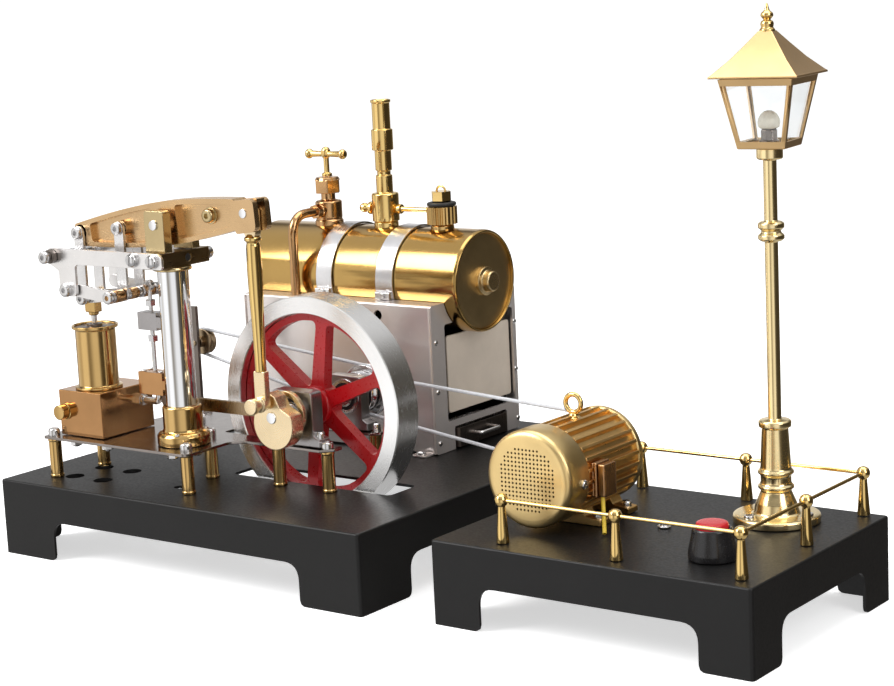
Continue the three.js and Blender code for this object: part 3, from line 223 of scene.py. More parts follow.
def enamel(name, colour, rough, coat, speckle=0.15, shine=0.5):
    material, tree, shader = nodes_of(name)
    clouds = noise(tree, place_in(tree), 40, 4)
    dark = tuple(c * 0.82 for c in colour)
    link(tree, tint(tree, clouds, dark, colour), shader.inputs["Base Color"])
    skin = noise(tree, place_in(tree), 900, 3)
    link(tree, spread(tree, skin, rough - 0.05, rough + 0.06), shader.inputs["Roughness"])
    add_bump(tree, shader, [(skin, speckle, 0.00006)])
    shader.inputs["Specular IOR Level"].default_value = shine
    shader.inputs["Coat Weight"].default_value = coat
    shader.inputs["Coat Roughness"].default_value = 0.12
    return material


def plastic(name, colour, rough):
    material, tree, shader = nodes_of(name)
    speck = noise(tree, place_in(tree), 1500, 3)
    dark = tuple(c * 0.85 for c in colour)
    link(tree, tint(tree, speck, dark, colour), shader.inputs["Base Color"])
    link(tree, spread(tree, speck, rough - 0.05, rough + 0.07), shader.inputs["Roughness"])
    add_bump(tree, shader, [(speck, 0.12, 0.00004)])
    return material


def clear_glass(name):
    material, tree, shader = nodes_of(name)
    ripple = noise(tree, place_in(tree), 70, 2)
    link(tree, tint(tree, ripple, (0.93, 0.95, 0.96), (0.98, 0.99, 0.99)), shader.inputs["Base Color"])
    link(tree, spread(tree, ripple, 0.01, 0.05), shader.inputs["Roughness"])
    shader.inputs["Transmission Weight"].default_value = 1.0
    shader.inputs["IOR"].default_value = 1.46
    add_bump(tree, shader, [(ripple, 0.04, 0.0002)])
    return material


def cord_material(name, colour, rough):
    """A moulded round cord: fine spiral drift and a dusty, slightly uneven skin."""
    material, tree, shader = nodes_of(name)
    skin = noise(tree, place_in(tree, (500, 3000, 500)), 1.0, 4)
    dark = tuple(c * 0.8 for c in colour)
    link(tree, tint(tree, skin, dark, colour), shader.inputs["Base Color"])
    link(tree, spread(tree, skin, rough - 0.1, rough + 0.1), shader.inputs["Roughness"])
    add_bump(tree, shader, [(skin, 0.25, 0.00008)])
    return material


MATERIALS = {}


def look(key):
    if key not in MATERIALS:
        _, make, settings = LOOKS[key]
        MATERIALS[key] = make(key, **settings)
    return MATERIALS[key]


# Each look: its slot in the record, its maker and the maker's settings.
LOOKS = {
    "black_sheet": (
        "satin_black", enamel,
        dict(colour=(0.007, 0.0066, 0.0066), rough=0.40, coat=0.0, speckle=0.2, shine=0.28)
    ),
    # Near-black: painted shade, for the bottom of the entablature's hole and the generator's inside behind
    # its cover.
    "black_inside": (
        "dark_bronze", enamel, dict(colour=(0.010, 0.010, 0.010), rough=0.6, coat=0.0, speckle=0.3)
    ),
    "table_steel": (
        "brushed_steel", metal,
        dict(colour=(0.32, 0.285, 0.265), rough=0.18, grain=brushed("x"), depth=0.16)
    ),
    "frame_steel": (
        "brushed_steel", metal, dict(colour=(0.92, 0.90, 0.89), rough=0.30, grain=brushed("x"), depth=0.16)
    ),
    "link_steel": (
        "brushed_steel", metal, dict(colour=(0.88, 0.87, 0.87), rough=0.26, grain=brushed("z"), depth=0.16)
    ),
    "screw_steel": ("brushed_steel", metal, dict(colour=(0.74, 0.73, 0.73), rough=0.20, depth=0.1)),
    "bearing_steel": (
        "brushed_steel", metal, dict(colour=(0.44, 0.42, 0.42), rough=0.30, grain=brushed("z"), depth=0.2)
    ),
    "shaft_steel": (
        "brushed_steel", metal,
        dict(colour=LIGHT_STEEL, rough=0.16, grain=rings("y", (SHAFT[0], 60, SHAFT[1])))
    ),
    "chrome": (
        "brass", metal, dict(colour=(0.87, 0.87, 0.88), rough=0.05, swing=0.02, depth=0.03, shade=0.97)
    ),
    "rim_steel": (
        "polished_steel", metal,
        dict(
            colour=(0.98, 0.97, 0.96), rough=0.26, grain=rings("y", (SHAFT[0], 60, SHAFT[1])), depth=0.08,
            anisotropic=0.75, tangent="Y", shade=0.97, swing=0.03
        )
    ),
    "red_enamel": (
        "red_paint", enamel, dict(colour=(0.42, 0.003, 0.006), rough=0.30, coat=0.08, speckle=0.012)
    ),
    "stove_steel": (
        "brushed_steel", metal,
        dict(
            colour=(0.78, 0.72, 0.69), rough=0.22, grain=brushed("z"), depth=0.04, shade=0.9, metallic=0.72
        )
    ),
    "shield_steel": (
        "brushed_steel", enamel, dict(colour=(0.54, 0.46, 0.375), rough=0.50, coat=0.0, speckle=0.05)
    ),
    "strap_steel": (
        "brushed_steel", metal,
        dict(colour=(0.80, 0.79, 0.80), rough=0.24, grain=rings("x", (100, *BOILER)), depth=0.2)
    ),
    # Near-black: painted shade on the inside walls of the firebox.
    "sooty": (
        "brushed_steel", metal,
        dict(colour=(0.06, 0.055, 0.05), rough=0.55, swing=0.15, depth=0.4, shade=0.5)
    ),
    "boiler_gold": (
        "gold_brass", metal,
        dict(
            colour=(0.52, 0.33, 0.11), rough=0.16, swing=0.04, grain=rings("x", (100, *BOILER)),
            depth=0.06, shade=0.93
        )
    ),
    "boiler_end": (
        "gold_brass", metal,
        dict(colour=(0.74, 0.55, 0.28), rough=0.34, grain=rings("x", (100, *BOILER)), depth=0.1)
    ),
    "plug_gold": (
        "gold_brass", metal,
        dict(colour=(0.80, 0.60, 0.32), rough=0.28, grain=rings("x", (100, *BOILER)), depth=0.1)
    ),
    "box_copper": (
        "brass", metal, dict(colour=(0.62, 0.36, 0.18), rough=0.24, grain=brushed("z"), depth=0.1)
    ),
    "gold": ("gold_brass", metal, dict(colour=GOLD, rough=0.12, swing=0.04, depth=0.05, shade=0.93)),
    "lamp_gold": (
        "gold_brass", metal,
        dict(
            colour=(0.98, 0.78, 0.42), rough=0.18, swing=0.04, grain=rings("z", (*LAMP, 60)), depth=0.06,
            shade=0.93
        )
    ),
    "roof_gold": (
        "gold_brass", metal, dict(colour=(0.78, 0.52, 0.25), rough=0.34, grain=brushed("x"), depth=0.12)
    ),
    "cover_gold": (
        "brass", metal,
        dict(colour=(0.90, 0.66, 0.30), rough=0.34, grain=rings("y", (MOTOR[0], 40, MOTOR[1])), depth=0.15)
    ),
    "case_gold": (
        "brass", metal,
        dict(colour=(0.84, 0.54, 0.21), rough=0.32, grain=brushed("y"), depth=0.2, shade=0.75)
    ),
    "copper": ("copper_brass", metal, dict(colour=COPPER, rough=0.16, swing=0.05, depth=0.06, shade=0.88)),
    "block_copper": (
        "copper_brass", metal, dict(colour=(0.52, 0.28, 0.12), rough=0.12, grain=brushed("x"), depth=0.05)
    ),
    "beam_copper": (
        "copper_brass", metal, dict(colour=(0.70, 0.47, 0.25), rough=0.28, grain=brushed("x"), depth=0.08)
    ),
    "pale_brass": (
        "dark_bronze", metal, dict(colour=(0.64, 0.50, 0.27), rough=0.22, grain=brushed("z"), depth=0.06)
    ),
    "crank_brass": (
        "brass", metal,
        dict(colour=(0.95, 0.76, 0.48), rough=0.28, grain=rings("y", (SHAFT[0], 30, SHAFT[1])), depth=0.15)
    ),
    "turned_brass": (
        "brass", metal,
        dict(
            colour=(0.64, 0.42, 0.165), rough=0.14, swing=0.05, grain=brushed("x"), depth=0.03, shade=0.92
        )
    ),
    "bronze_dark": (
        "dark_bronze", metal, dict(colour=(0.23, 0.165, 0.085), rough=0.30, grain=brushed("y"), depth=0.2)
    ),
    "rod_bronze": (
        "brass", metal, dict(colour=(0.36, 0.27, 0.17), rough=0.28, grain=brushed("z"), depth=0.15)
    ),
    "gunmetal": (
        "dark_bronze", metal, dict(colour=(0.20, 0.17, 0.15), rough=0.30, grain=brushed("z"), depth=0.2)
    ),
    "pale_cord": ("pale_cord", cord_material, dict(colour=(0.66, 0.67, 0.70), rough=0.45)),
    "yellow_wire": ("yellow_wire", cord_material, dict(colour=(0.80, 0.56, 0.05), rough=0.40)),
    "black_rubber": ("black_plastic", plastic, dict(colour=(0.012, 0.012, 0.012), rough=0.5)),
    "black_plastic": ("black_plastic", plastic, dict(colour=(0.014, 0.013, 0.014), rough=0.22)),
    "red_plastic": ("red_plastic", plastic, dict(colour=(0.56, 0.012, 0.018), rough=0.22)),
    "lamp_glass": ("clear_glass", clear_glass, dict()),
    "bulb": ("bulb_white", plastic, dict(colour=(0.86, 0.80, 0.66), rough=0.18))
}


# ---------------------------------------------------------------- meshes
class Solid:
    """A mesh being gathered: points in millimetres, faces as lists of their indices."""

    def __init__(self):
        self.points = []
        self.faces = []

    def add(self, points, faces):
        first = len(self.points)
        self.points += [tuple(p) for p in points]
        self.faces += [[first + i for i in face] for face in faces]
        return self


def polar(centre, r, angle):
    """The point at a radius and an angle round a centre, in a plane."""
    return (centre[0] + r * math.cos(angle), centre[1] + r * math.sin(angle))


def on_axis(axis, at, r, h, angle):
    c, s = polar(at, r, angle)
    return {"z": (c, s, h), "y": (c, h, s), "x": (h, c, s)}[axis]


def curve(p, corner, q, steps):
    """Points from p to q along a curve that leans on a corner."""
    out = []
    for k in range(steps + 1):
        t = k / steps
        out.append(p * (1 - t) ** 2 + corner * (2 * t * (1 - t)) + q * t**2)
    return out


def ease(profile, r, steps=3):
    """Rounds each inner corner of a profile by up to r."""
    out = [profile[0]]
    for before, here, after in zip(profile, profile[1:], profile[2:]):
        a = Vector(before) - Vector(here)
        b = Vector(after) - Vector(here)
        if a.length < 1e-6 or b.length < 1e-6:
            out.append(here)
            continue
        cut = min(r, 0.45 * a.length, 0.45 * b.length)
        p = Vector(here) + a.normalized() * cut
        q = Vector(here) + b.normalized() * cut
        out += [(point.x, point.y) for point in curve(p, Vector(here), q, steps)]
    out.append(profile[-1])
    return out


def turned(solid, axis, at, profile, sides=64, soft=0.0, start=0.0):
    """A surface turned round an axis; profile lists (radius, place along the axis)."""
    if soft:
        profile = ease(profile, soft)
    points = []
    rings_at = []
    for r, h in profile:
        if r < 1e-6:
            rings_at.append([len(points)])
            points.append(on_axis(axis, at, 0, h, 0))
        else:
            rings_at.append(list(range(len(points), len(points) + sides)))
            points += [on_axis(axis, at, r, h, start + 2 * math.pi * k / sides) for k in range(sides)]
    faces = []
    for low, high in zip(rings_at, rings_at[1:]):
        for k in range(sides):
            n = (k + 1) % sides
            if len(low) == 1 and len(high) == 1:
                break
            if len(low) == 1:
                faces.append([low[0], high[k], high[n]])
            elif len(high) == 1:
                faces.append([low[k], low[n], high[0]])
            else:
                faces.append([low[k], low[n], high[n], high[k]])
    return solid.add(points, faces)


def rod(solid, axis, at, r, low, high, sides=32, soft=0.0):
    return turned(solid, axis, at, [(0, low), (r, low), (r, high), (0, high)], sides, soft)


def pipe(solid, axis, at, outer, inner, low, high, sides=64, soft=0.0):
    profile = [(inner, low), (outer, low), (outer, high), (inner, high), (inner, low)]
    if soft:
        middle = (inner + outer) / 2
        profile = [(middle, low), (outer, low), (outer, high), (inner, high), (inner, low), (middle, low)]
        profile = ease(profile, soft)
    return turned(solid, axis, at, profile, sides)


def rounded(corners, steps=5):
    """A closed outline through corners (x, y, radius)."""
    out = []
    count = len(corners)
    for i, (x, y, r) in enumerate(corners):
        here = Vector((x, y))
        back = Vector(corners[i - 1][:2]) - here
        ahead = Vector(corners[(i + 1) % count][:2]) - here
        if r <= 0:
            out.append((x, y))
            continue
        turn = max(0.05, back.angle(ahead) / 2)
        cut = min(r / math.tan(turn), 0.48 * back.length, 0.48 * ahead.length)
        p = here + back.normalized() * cut
        q = here + ahead.normalized() * cut
        out += [(point.x, point.y) for point in curve(p, here, q, steps)]
    return out


def arc(centre, r, first, last, steps):
    """Points along an arc, both ends included."""
    return [polar(centre, r, first + (last - first) * k / steps) for k in range(steps + 1)]


def walls(size, levels):
    """The faces between closed loops of a size, one above another."""
    faces = []
    for a in range(0, size * (levels - 1), size):
        for k in range(size):
            n = (k + 1) % size
            faces.append([a + k, a + n, a + size + n, a + size + k])
    return faces


def circle(x, y, r, count=32, start=0.0):
    return [polar((x, y), r, start + 2 * math.pi * k / count) for k in range(count)]


def lift(plane, x, y, h):
    return {"xy": (x, y, h), "xz": (x, h, y), "yz": (h, x, y)}[plane]


def plate(solid, plane, outer, low, high, holes=()):
    """A flat plate: its outline lies in a plane, and it runs from low to high across it."""
    loops = [outer, *holes]
    flat = [[Vector((x, y, 0)) for x, y in loop] for loop in loops]
    points = [p for loop in loops for p in loop]
    count = len(points)
    made = [lift(plane, x, y, low) for x, y in points] + [lift(plane, x, y, high) for x, y in points]
    faces = []
    if holes:
        triangles = tessellate_polygon(flat)
        faces += [list(t) for t in triangles]
        faces += [[i + count for i in t] for t in triangles]
    else:
        faces += [list(range(count)), list(range(count, 2 * count))]
    first = 0
    for loop in loops:
        size = len(loop)
        for k in range(size):
            n = (k + 1) % size
            faces.append([first + k, first + n, first + n + count, first + k + count])
        first += size
    return solid.add(made, faces)


def block(solid, x0, x1, y0, y1, z0, z1):
    return plate(solid, "xy", [(x0, y0), (x1, y0), (x1, y1), (x0, y1)], z0, z1)


def swept(solid, path, r, sides=16, closed=False, squash=1.0):
    """A round section carried along a path without twisting."""
    points = [Vector(p) for p in path]
    count = len(points)
    tangents = []
    for k in range(count):
        before = points[k - 1] if (closed or k > 0) else points[k]
        after = points[(k + 1) % count] if (closed or k + 1 < count) else points[k]
        tangents.append((after - before).normalized())
    side = tangents[0].orthogonal().normalized()
    made = []
    for k in range(count):
        side = (side - tangents[k] * side.dot(tangents[k])).normalized()
        up = tangents[k].cross(side)
        for s in range(sides):
            a = 2 * math.pi * s / sides
            made.append(points[k] + side * (r * math.cos(a)) + up * (r * squash * math.sin(a)))
    faces = []
    for k in range(count if closed else count - 1):
        n = (k + 1) % count
        shift = 0
        if closed and n == 0:
            gaps = [(made[(s) % sides] - made[k * sides]).length for s in range(sides)]
            shift = gaps.index(min(gaps))
        for s in range(sides):
            t = (s + 1) % sides
            faces.append(
                [
                    k * sides + s, k * sides + t, n * sides + (t + shift) % sides,
                    n * sides + (s + shift) % sides
                ]
            )
    if not closed:
        faces += [list(range(sides)), list(range((count - 1) * sides, count * sides))]
    return solid.add(made, faces)


def bend(corners, steps=8):
    """A path through corners (x, y, z, radius), rounded at each."""
    out = []
    for i, (x, y, z, r) in enumerate(corners):
        here = Vector((x, y, z))
        if i == 0 or i == len(corners) - 1 or r <= 0:
            out.append(here)
            continue
        back = Vector(corners[i - 1][:3]) - here
        ahead = Vector(corners[i + 1][:3]) - here
        p = here + back.normalized() * r
        q = here + ahead.normalized() * r
        out += curve(p, here, q, steps)
    return out


def aimed(solid, origin, direction, build):
    """Builds something along +Z about the origin, then points it in a direction from a place."""
    local = Solid()
    build(local)
    turn = Vector((0, 0, 1)).rotation_difference(Vector(direction)).to_matrix()
    base = Vector(origin)
    return solid.add([base + turn @ Vector(p) for p in local.points], local.faces)


def pan_screw(solid, origin, direction, r=2.7, h=1.9, slot=0.9, angle=0.6):
    """A round-headed screw with a slot across its head."""

    def build(s):
        base = h * 0.5
        turned(s, "z", (0, 0), ease([(0, 0), (r, 0), (r, base)], 0.15), 28)
        for side in (-1, 1):
            half = slot / 2
            limit = math.asin(min(1, half / r))
            outline = arc((0, 0), r, limit, math.pi - limit, 12)
            levels = [(1.0, base), (0.93, base + 0.5 * (h - base)), (0.7, h)]
            points = [(x * shrink, max(half, y * shrink), z) for shrink, z in levels for x, y in outline]
            size = len(outline)
            faces = walls(size, 3) + [[2 * size + k for k in range(size)]]
            c, t = math.cos(angle), math.sin(angle)
            s.add([(x * c - side * y * t, x * t + side * y * c, z) for x, y, z in points], faces)
        s.add([(x, y, base) for x, y in circle(0, 0, r * 0.98, 24)], [list(range(24))])

    return aimed(solid, origin, direction, build)


def socket_screw(solid, origin, direction, r=2.7, h=2.0, key=1.25, turn=0.3):
    """A round-headed screw with a hexagonal socket."""

    def build(s):
        outer = [(r, 0.0), (r, h * 0.62), (r * 0.94, h * 0.86), (r * 0.78, h), (key * 1.32, h)]
        turned(s, "z", (0, 0), [(0, 0), *outer], 30, start=turn)
        ring = [(x, y, h) for x, y in circle(0, 0, key * 1.32, 30, turn)]
        six = circle(0, 0, key, 6, turn)
        mouth = []
        for k in range(30):
            a = six[k // 5]
            b = six[(k // 5 + 1) % 6]
            t = (k % 5) / 5
            mouth.append((a[0] * (1 - t) + b[0] * t, a[1] * (1 - t) + b[1] * t, h))
        deep = [(x, y, h - 1.1) for x, y, _ in mouth]
        s.add(ring + mouth + deep, walls(30, 3) + [[60 + k for k in range(30)]])

    return aimed(solid, origin, direction, build)


def hex_nut(solid, origin, direction, r=3.0, h=2.3, hole=1.3, turn=0.0, stud=0.5):
    """A nut with chamfered corners and the end of its bolt."""

    def build(s):
        plate(s, "xy", circle(0, 0, r, 6, turn), 0.0, h * 0.86)
        turned(s, "z", (0, 0), [(r * 0.97, h * 0.80), (r * 0.86, h), (hole, h)], 30)
        turned(s, "z", (0, 0), ease([(0, h + stud), (hole, h + stud), (hole, 0)], 0.2), 20)

    return aimed(solid, origin, direction, build)


def washer(solid, origin, direction, r, h):
    profile = ease([(0, 0), (r, 0), (r, h), (0, h)], 0.15)
    return aimed(solid, origin, direction, lambda s: turned(s, "z", (0, 0), profile, 36))


SHARP = math.radians(38)
BEVELLED = math.radians(32)


def bevel_edges(bm, bevel, segments, shortest):
    """Rounds every edge that turns by more than BEVELLED."""
    shared = [edge for edge in bm.edges if len(edge.link_faces) == 2]
    edges = [e for e in shared if e.calc_face_angle(0) > BEVELLED and e.calc_length() > shortest]
    bmesh.ops.bevel(
        bm, geom=edges, offset=bevel * MM, segments=segments, profile=0.6, affect="EDGES",
        clamp_overlap=True
    )


def write_smooth(bm, mesh):
    for face in bm.faces:
        face.smooth = True
    bm.to_mesh(mesh)
    bm.free()
    mesh.set_sharp_from_angle(angle=SHARP)


def to_mesh(name, solid, bevel=0.0, segments=1):
    mesh = bpy.data.meshes.new(name)
    mesh.from_pydata([row(*p) for p in solid.points], [], solid.faces)
    bm = bmesh.new()
    bm.from_mesh(mesh)
    bmesh.ops.remove_doubles(bm, verts=bm.verts, dist=1e-6)
    bmesh.ops.dissolve_degenerate(bm, dist=1e-7, edges=bm.edges)
    bmesh.ops.recalc_face_normals(bm, faces=bm.faces)
    if bevel:
        bevel_edges(bm, bevel, segments, 1e-5)
    write_smooth(bm, mesh)
    mesh.update()
    return mesh


def even_normals(made):
    made.modifiers.new("even_normals", "WEIGHTED_NORMAL").keep_sharp = True


def piece(name, solid, key, stands_for=(), body="base", bevel=0.0, segments=2):
    """Turns a solid into an object that rides a body, with its look and the CAD nodes it stands for."""
    mesh = to_mesh(name, solid, bevel, segments)
    made = bpy.data.objects.new(name, mesh)
    bpy.context.scene.collection.objects.link(made)
    made.data.materials.append(look(key))
    if bevel:
        even_normals(made)
    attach(made, body)
    if stands_for:
        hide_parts(*stands_for)
        DONE.update(stands_for)
    return made


def carve(made, *cutters):
    """Cuts solids out of an object's mesh for good."""
    for k, cutter in enumerate(cutters):
        tool = bpy.data.objects.new(f"cutter_{k}", to_mesh(f"cutter_{k}", cutter))
        bpy.context.scene.collection.objects.link(tool)
        step = made.modifiers.new(f"cut_{k}", "BOOLEAN")
        step.operation = "DIFFERENCE"
        step.solver = "EXACT"
        step.object = tool
        bpy.context.view_layer.update()
        graph = bpy.context.evaluated_depsgraph_get()
        fresh = bpy.data.meshes.new_from_object(made.evaluated_get(graph), depsgraph=graph)
        made.modifiers.remove(step)
        made.data = fresh
        bpy.data.objects.remove(tool)


def soften(made, bevel):
    """Rounds an object's sharp edges after its cuts."""
    bm = bmesh.new()
    bm.from_mesh(made.data)
    bmesh.ops.remove_doubles(bm, verts=bm.verts, dist=2e-6)
    bmesh.ops.dissolve_limit(bm, angle_limit=math.radians(0.5), verts=bm.verts, edges=bm.edges)
    bevel_edges(bm, bevel, 2, -1)
    write_smooth(bm, made.data)
    even_normals(made)


# ---------------------------------------------------------------- the two pressed bases
def stacked(solid, x0, x1, y0, y1, levels, r):
    """Rounded rectangles one above another: levels lists (inset, height)."""
    loops = []
    for inset, z in levels:
        corner = max(0.4, r - inset)
        corners = [
            (x0 + inset, y0 + inset, corner), (x1 - inset, y0 + inset, corner),
            (x1 - inset, y1 - inset, corner), (x0 + inset, y1 - inset, corner)
        ]
        loops.append([(x, y, z) for x, y in rounded(corners, 5)])
    size = len(loops[0])
    points = [p for loop in loops for p in loop]
    caps = [list(range(size)), [len(points) - size + k for k in range(size)]]
    return solid.add(points, caps + walls(size, len(loops)))


def arch(low, high, notch):
    corners = [
        (low - 2.6, -1, 0), (high + 2.6, -1, 0), (high + 2.6, 0.02, 0), (high + 1.7, 0.15, 0.3),
        (high + 0.5, 0.9, 0.6), (high, 2.6, 1.2), (high, notch, 7), (low, notch, 7), (low, 2.6, 1.2),
        (low - 0.5, 0.9, 0.6), (low - 1.7, 0.15, 0.3), (low - 2.6, 0.02, 0)
    ]
    return rounded(corners, 6)


def pressed_base(name, x0, x1, y0, y1, front_foot, side_foot, holes):
    top = [(0, 0)]
    for k in range(7):
        a = math.radians(15 * k)
        top.append((0.9 * (1 - math.cos(a)), BASE_H - 0.9 + 0.9 * math.sin(a)))
    outer = stacked(Solid(), x0, x1, y0, y1, top, 1.6)
    inner = stacked(Solid(), x0, x1, y0, y1, [(1.2, -1), (1.2, BASE_H - 1.6), (1.8, BASE_H - 1.2)], 1.8)
    made = piece(name + "_sheet", outer, "black_sheet", [name])
    across = plate(Solid(), "xz", arch(x0 + front_foot, x1 - front_foot, 17.2), y0 - 5, y1 + 5)
    sideways = plate(Solid(), "yz", arch(y0 + side_foot, y1 - side_foot, 17.2), x0 - 5, x1 + 5)
    carve(made, inner, across, sideways, *holes)
    soften(made, 0.22)


def hole_down(x, y, r):
    return rod(Solid(), "z", (x, y), r, BASE_H - 4, BASE_H + 2, 32)


wheel_slot = plate(
    Solid(), "xy", rounded([(88, 53.2, 3), (174, 53.2, 3), (174, 71.8, 3), (88, 71.8, 3)]), BASE_H - 4,
    BASE_H + 2
)
base_holes = [
    hole_down(x, y, 4.2) for x in (26.7, 43.8) for y in (18.9, 36.7)
] + [hole_down(83.6, 25, 2.6)]
pressed_base("engine_base", 0, 200, 0, 194, 31, 32, [wheel_slot, *base_holes])
pressed_base("lamp_base", 229.4, 365.8, 7, 114.8, 21.5, 21, [])

# ---------------------------------------------------------------- steel table on brass pillars
TABLE_OUTLINE = [
    (16.5, 11.5, 1.5), (101, 11.5, 4), (101, 38, 4), (106, 42.6, 4), (147, 42.6, 1), (151.5, 47, 1),
    (151.5, 52.2, 1), (85.5, 52.2, 2), (85.5, 77, 2), (146, 77, 1), (149.5, 80.5, 1), (149.5, 91, 1.5),
    (38, 91, 1.5), (38, 60, 4), (30, 52, 4), (16.5, 52, 1.5)
]
PILLARS = [(20, 15), (23.5, 40), (95.5, 18), (85, 44), (121.2, 46.6), (147.6, 47), (143, 84.5), (45, 85)]
table = plate(Solid(), "xy", rounded(TABLE_OUTLINE, 6), 50.3, TABLE_TOP)
piece("table_plate", table, "table_steel", ["engine_table"], bevel=0.2)
pillars = Solid()
pillar_screws = Solid()
for x, y in PILLARS:
    turned(
        pillars, "z", (x, y),
        [
            (0, 33.15), (3.0, 33.15), (3.0, 34.2), (2.75, 34.5), (2.75, 49.0), (3.0, 49.3), (3.0, 50.25),
            (0, 50.25)
        ],
        36, 0.15
    )
    if (x, y) in ((20, 15), (95.5, 18), (85, 44), (45, 85)):
        socket_screw(pillar_screws, (x, y, TABLE_TOP), (0, 0, 1), 2.6, 3.1)
    else:
        socket_screw(pillar_screws, (x, y, TABLE_TOP), (0, 0, 1), 2.6, 2.8, 1.2, x)
piece("table_pillars", pillars, "turned_brass")
for x, y in ((34, 14.5), (53, 14.5), (91, 14.5), (95.5, 24)):
    hex_nut(pillar_screws, (x, y, 50.25), (0, 0, -1), 2.5, 1.8, 1.1, x)
piece("table_screws", pillar_screws, "screw_steel", bevel=0.08)

# ---------------------------------------------------------------- cylinder and its block
block_shape = block(Solid(), 22.5, 48, 17, 48.5, TABLE_TOP + 0.3, 71.6)
piece("cylinder_block_body", block_shape, "block_copper", ["cylinder_block"], bevel=0.45, segments=3)
plug = turned(Solid(), "y", (26.2, 62.3), [(0, 12.6), (3.2, 12.6), (3.2, 17.1)], 48, 0.35)
turned(plug, "y", (26.2, 62.3), [(3.4, 16.2), (3.7, 16.3), (3.7, 17.05)], 48)
piece("block_plug", plug, "turned_brass")
port = (40.2, 65)
elbow = bend([(48.1, *port, 0), (60.4, *port, 2.6), (60.4, port[0], 70.3, 0)], 10)
exhaust = swept(Solid(), elbow, 1.6, 24)
plate(exhaust, "yz", circle(*port, 2.7, 6, math.pi / 6), 48.0, 50.2)
turned(exhaust, "x", port, [(1.6, 50.2), (2.3, 50.2), (2.3, 51.4), (1.6, 51.7)], 32)
piece("steam_port_pipe", exhaust, "screw_steel", bevel=0.1)

cylinder = turned(
    Solid(), "z", CYLINDER,
    [
        (0, 71.7), (10.2, 71.7), (10.2, 72.7), (9.0, 72.9), (8.7, 73.3), (8.7, 97.2), (9.0, 97.7),
        (9.95, 98.0), (10.0, 99.2), (9.5, 99.35), (8.9, 98.9), (8.8, 98.2), (0, 98.2)
    ],
    96, 0.15
)
piece("cylinder_barrel", cylinder, "turned_brass", ["cylinder"])
cover = turned(
    Solid(), "z", CYLINDER,
    [(1.5, 97.9), (8.75, 97.9), (8.75, 98.5), (3.4, 98.7), (3.4, 99.7), (1.5, 99.9)], 64, 0.1
)
piece("cylinder_cover", cover, "gunmetal")
piston_rod = rod(Solid(), "z", CYLINDER, 1.3, 80, 104.5, 32)
turned(piston_rod, "z", CYLINDER, [(0, 75.4), (6.9, 75.4), (6.9, 80.4), (0, 80.4)], 48, 0.2)
piece("piston_and_rod", piston_rod, "screw_steel", ["piston_rod"], body="piston")
crosshead = block(Solid(), 32.9, 39.1, 26.3, 30.7, 104.7, 114.4)
turned(crosshead, "z", CYLINDER, [(0, 103.3), (2.1, 103.3), (2.3, 104.8)], 32)
piece("crosshead_block", crosshead, "turned_brass", ["crosshead"], body="piston", bevel=0.5, segments=3)

# ---------------------------------------------------------------- valve chest, spindle and guide
VALVE = (66.5, 32.5)
chest = block(Solid(), 59, 73, 29.5, 37.2, 70.4, 80.2)
block(chest, 58.5, 62.4, 37, 42.5, 70.4, 75.6)
block(chest, 72.6, 78.4, 29.5, 33, 73, 77)
piece("valve_chest_body", chest, "block_copper", ["valve_chest"], bevel=0.35)
chest_screws = Solid()
for x in (61.2, 70.8):
    for y in (31.2, 35.4):
        pan_screw(chest_screws, (x, y, 80.2), (0, 0, 1), 1.1, 0.7, 0.4, x + y)
piece("valve_chest_screws", chest_screws, "screw_steel")
spindle = rod(Solid(), "z", VALVE, 0.95, 74, 115.6, 24)
for low in (108.6, 93.3):
    plate(spindle, "xy", circle(*VALVE, 2.3, 6, 0.3), low, low + 2.5)
turned(spindle, "y", (VALVE[0], 117.4), [(0, 31.4), (2.3, 31.4), (2.3, 33.6), (0, 33.6)], 36, 0.25)
piece("valve_spindle_rod", spindle, "screw_steel", ["valve_spindle"], body="spindle", bevel=0.12)
guide = block(Solid(), 61, 72, 29.5, 35.5, 98.4, 106)
block(guide, 71.6, 78.4, 29.5, 33, 99.6, 104.4)
piece("spindle_guide_block", guide, "bearing_steel", ["spindle_guide"], bevel=0.35)

# ---------------------------------------------------------------- column, its foot and the entablature
foot = turned(
    Solid(), "z", COLUMN,
    [
        (0, TABLE_TOP + 0.3), (11.2, TABLE_TOP + 0.3), (11.2, 55.6), (10.2, 56.9), (8.8, 57.4),
        (8.4, 58.4), (8.4, 67.4), (7.9, 68.1), (6.7, 68.2), (6.7, 60)
    ],
    96, 0.3
)
piece("column_foot", foot, "turned_brass", ["column_base"])
foot_screws = Solid()
for k in range(3):
    spot = (*polar(COLUMN, 9.6, math.radians(-62 + 120 * k)), 56.6)
    socket_screw(foot_screws, spot, (0, 0, 1), 1.2, 0.9, 0.55)
piece("column_foot_screws", foot_screws, "screw_steel")
tube = turned(Solid(), "z", COLUMN, [(6.3, 60.2), (6.55, 60.4), (6.55, 125.2), (6.3, 125.4)], 96)
piece("column_tube", tube, "chrome", ["column"])
beam_seat = block(Solid(), 81.2, 90.4, 15, 45.4, 127, 133.4)
piece("entablature_bar", beam_seat, "bronze_dark", ["entablature"], bevel=0.6, segments=3)
cap = turned(
    Solid(), "z", COLUMN, [(0, 125.45), (8.0, 125.45), (8.1, 126.0), (7.8, 127.05), (0, 127.05)], 64, 0.3
)
piece("column_cap", cap, "pale_brass")
seat_hole = turned(
    Solid(), "x", (32.2, 130.5), [(2.2, 90.3), (2.2, 90.55), (1.75, 90.6), (1.6, 90.42)], 40
)
piece("entablature_ring", seat_hole, "bronze_dark")
# A near-black disc deep in the entablature's hole: painted shade in the hole.
seat_pit_shade = turned(Solid(), "x", (32.2, 130.5), [(0, 90.41), (1.7, 90.46)], 40)
piece("entablature_pit_painted_shade", seat_pit_shade, "black_inside")

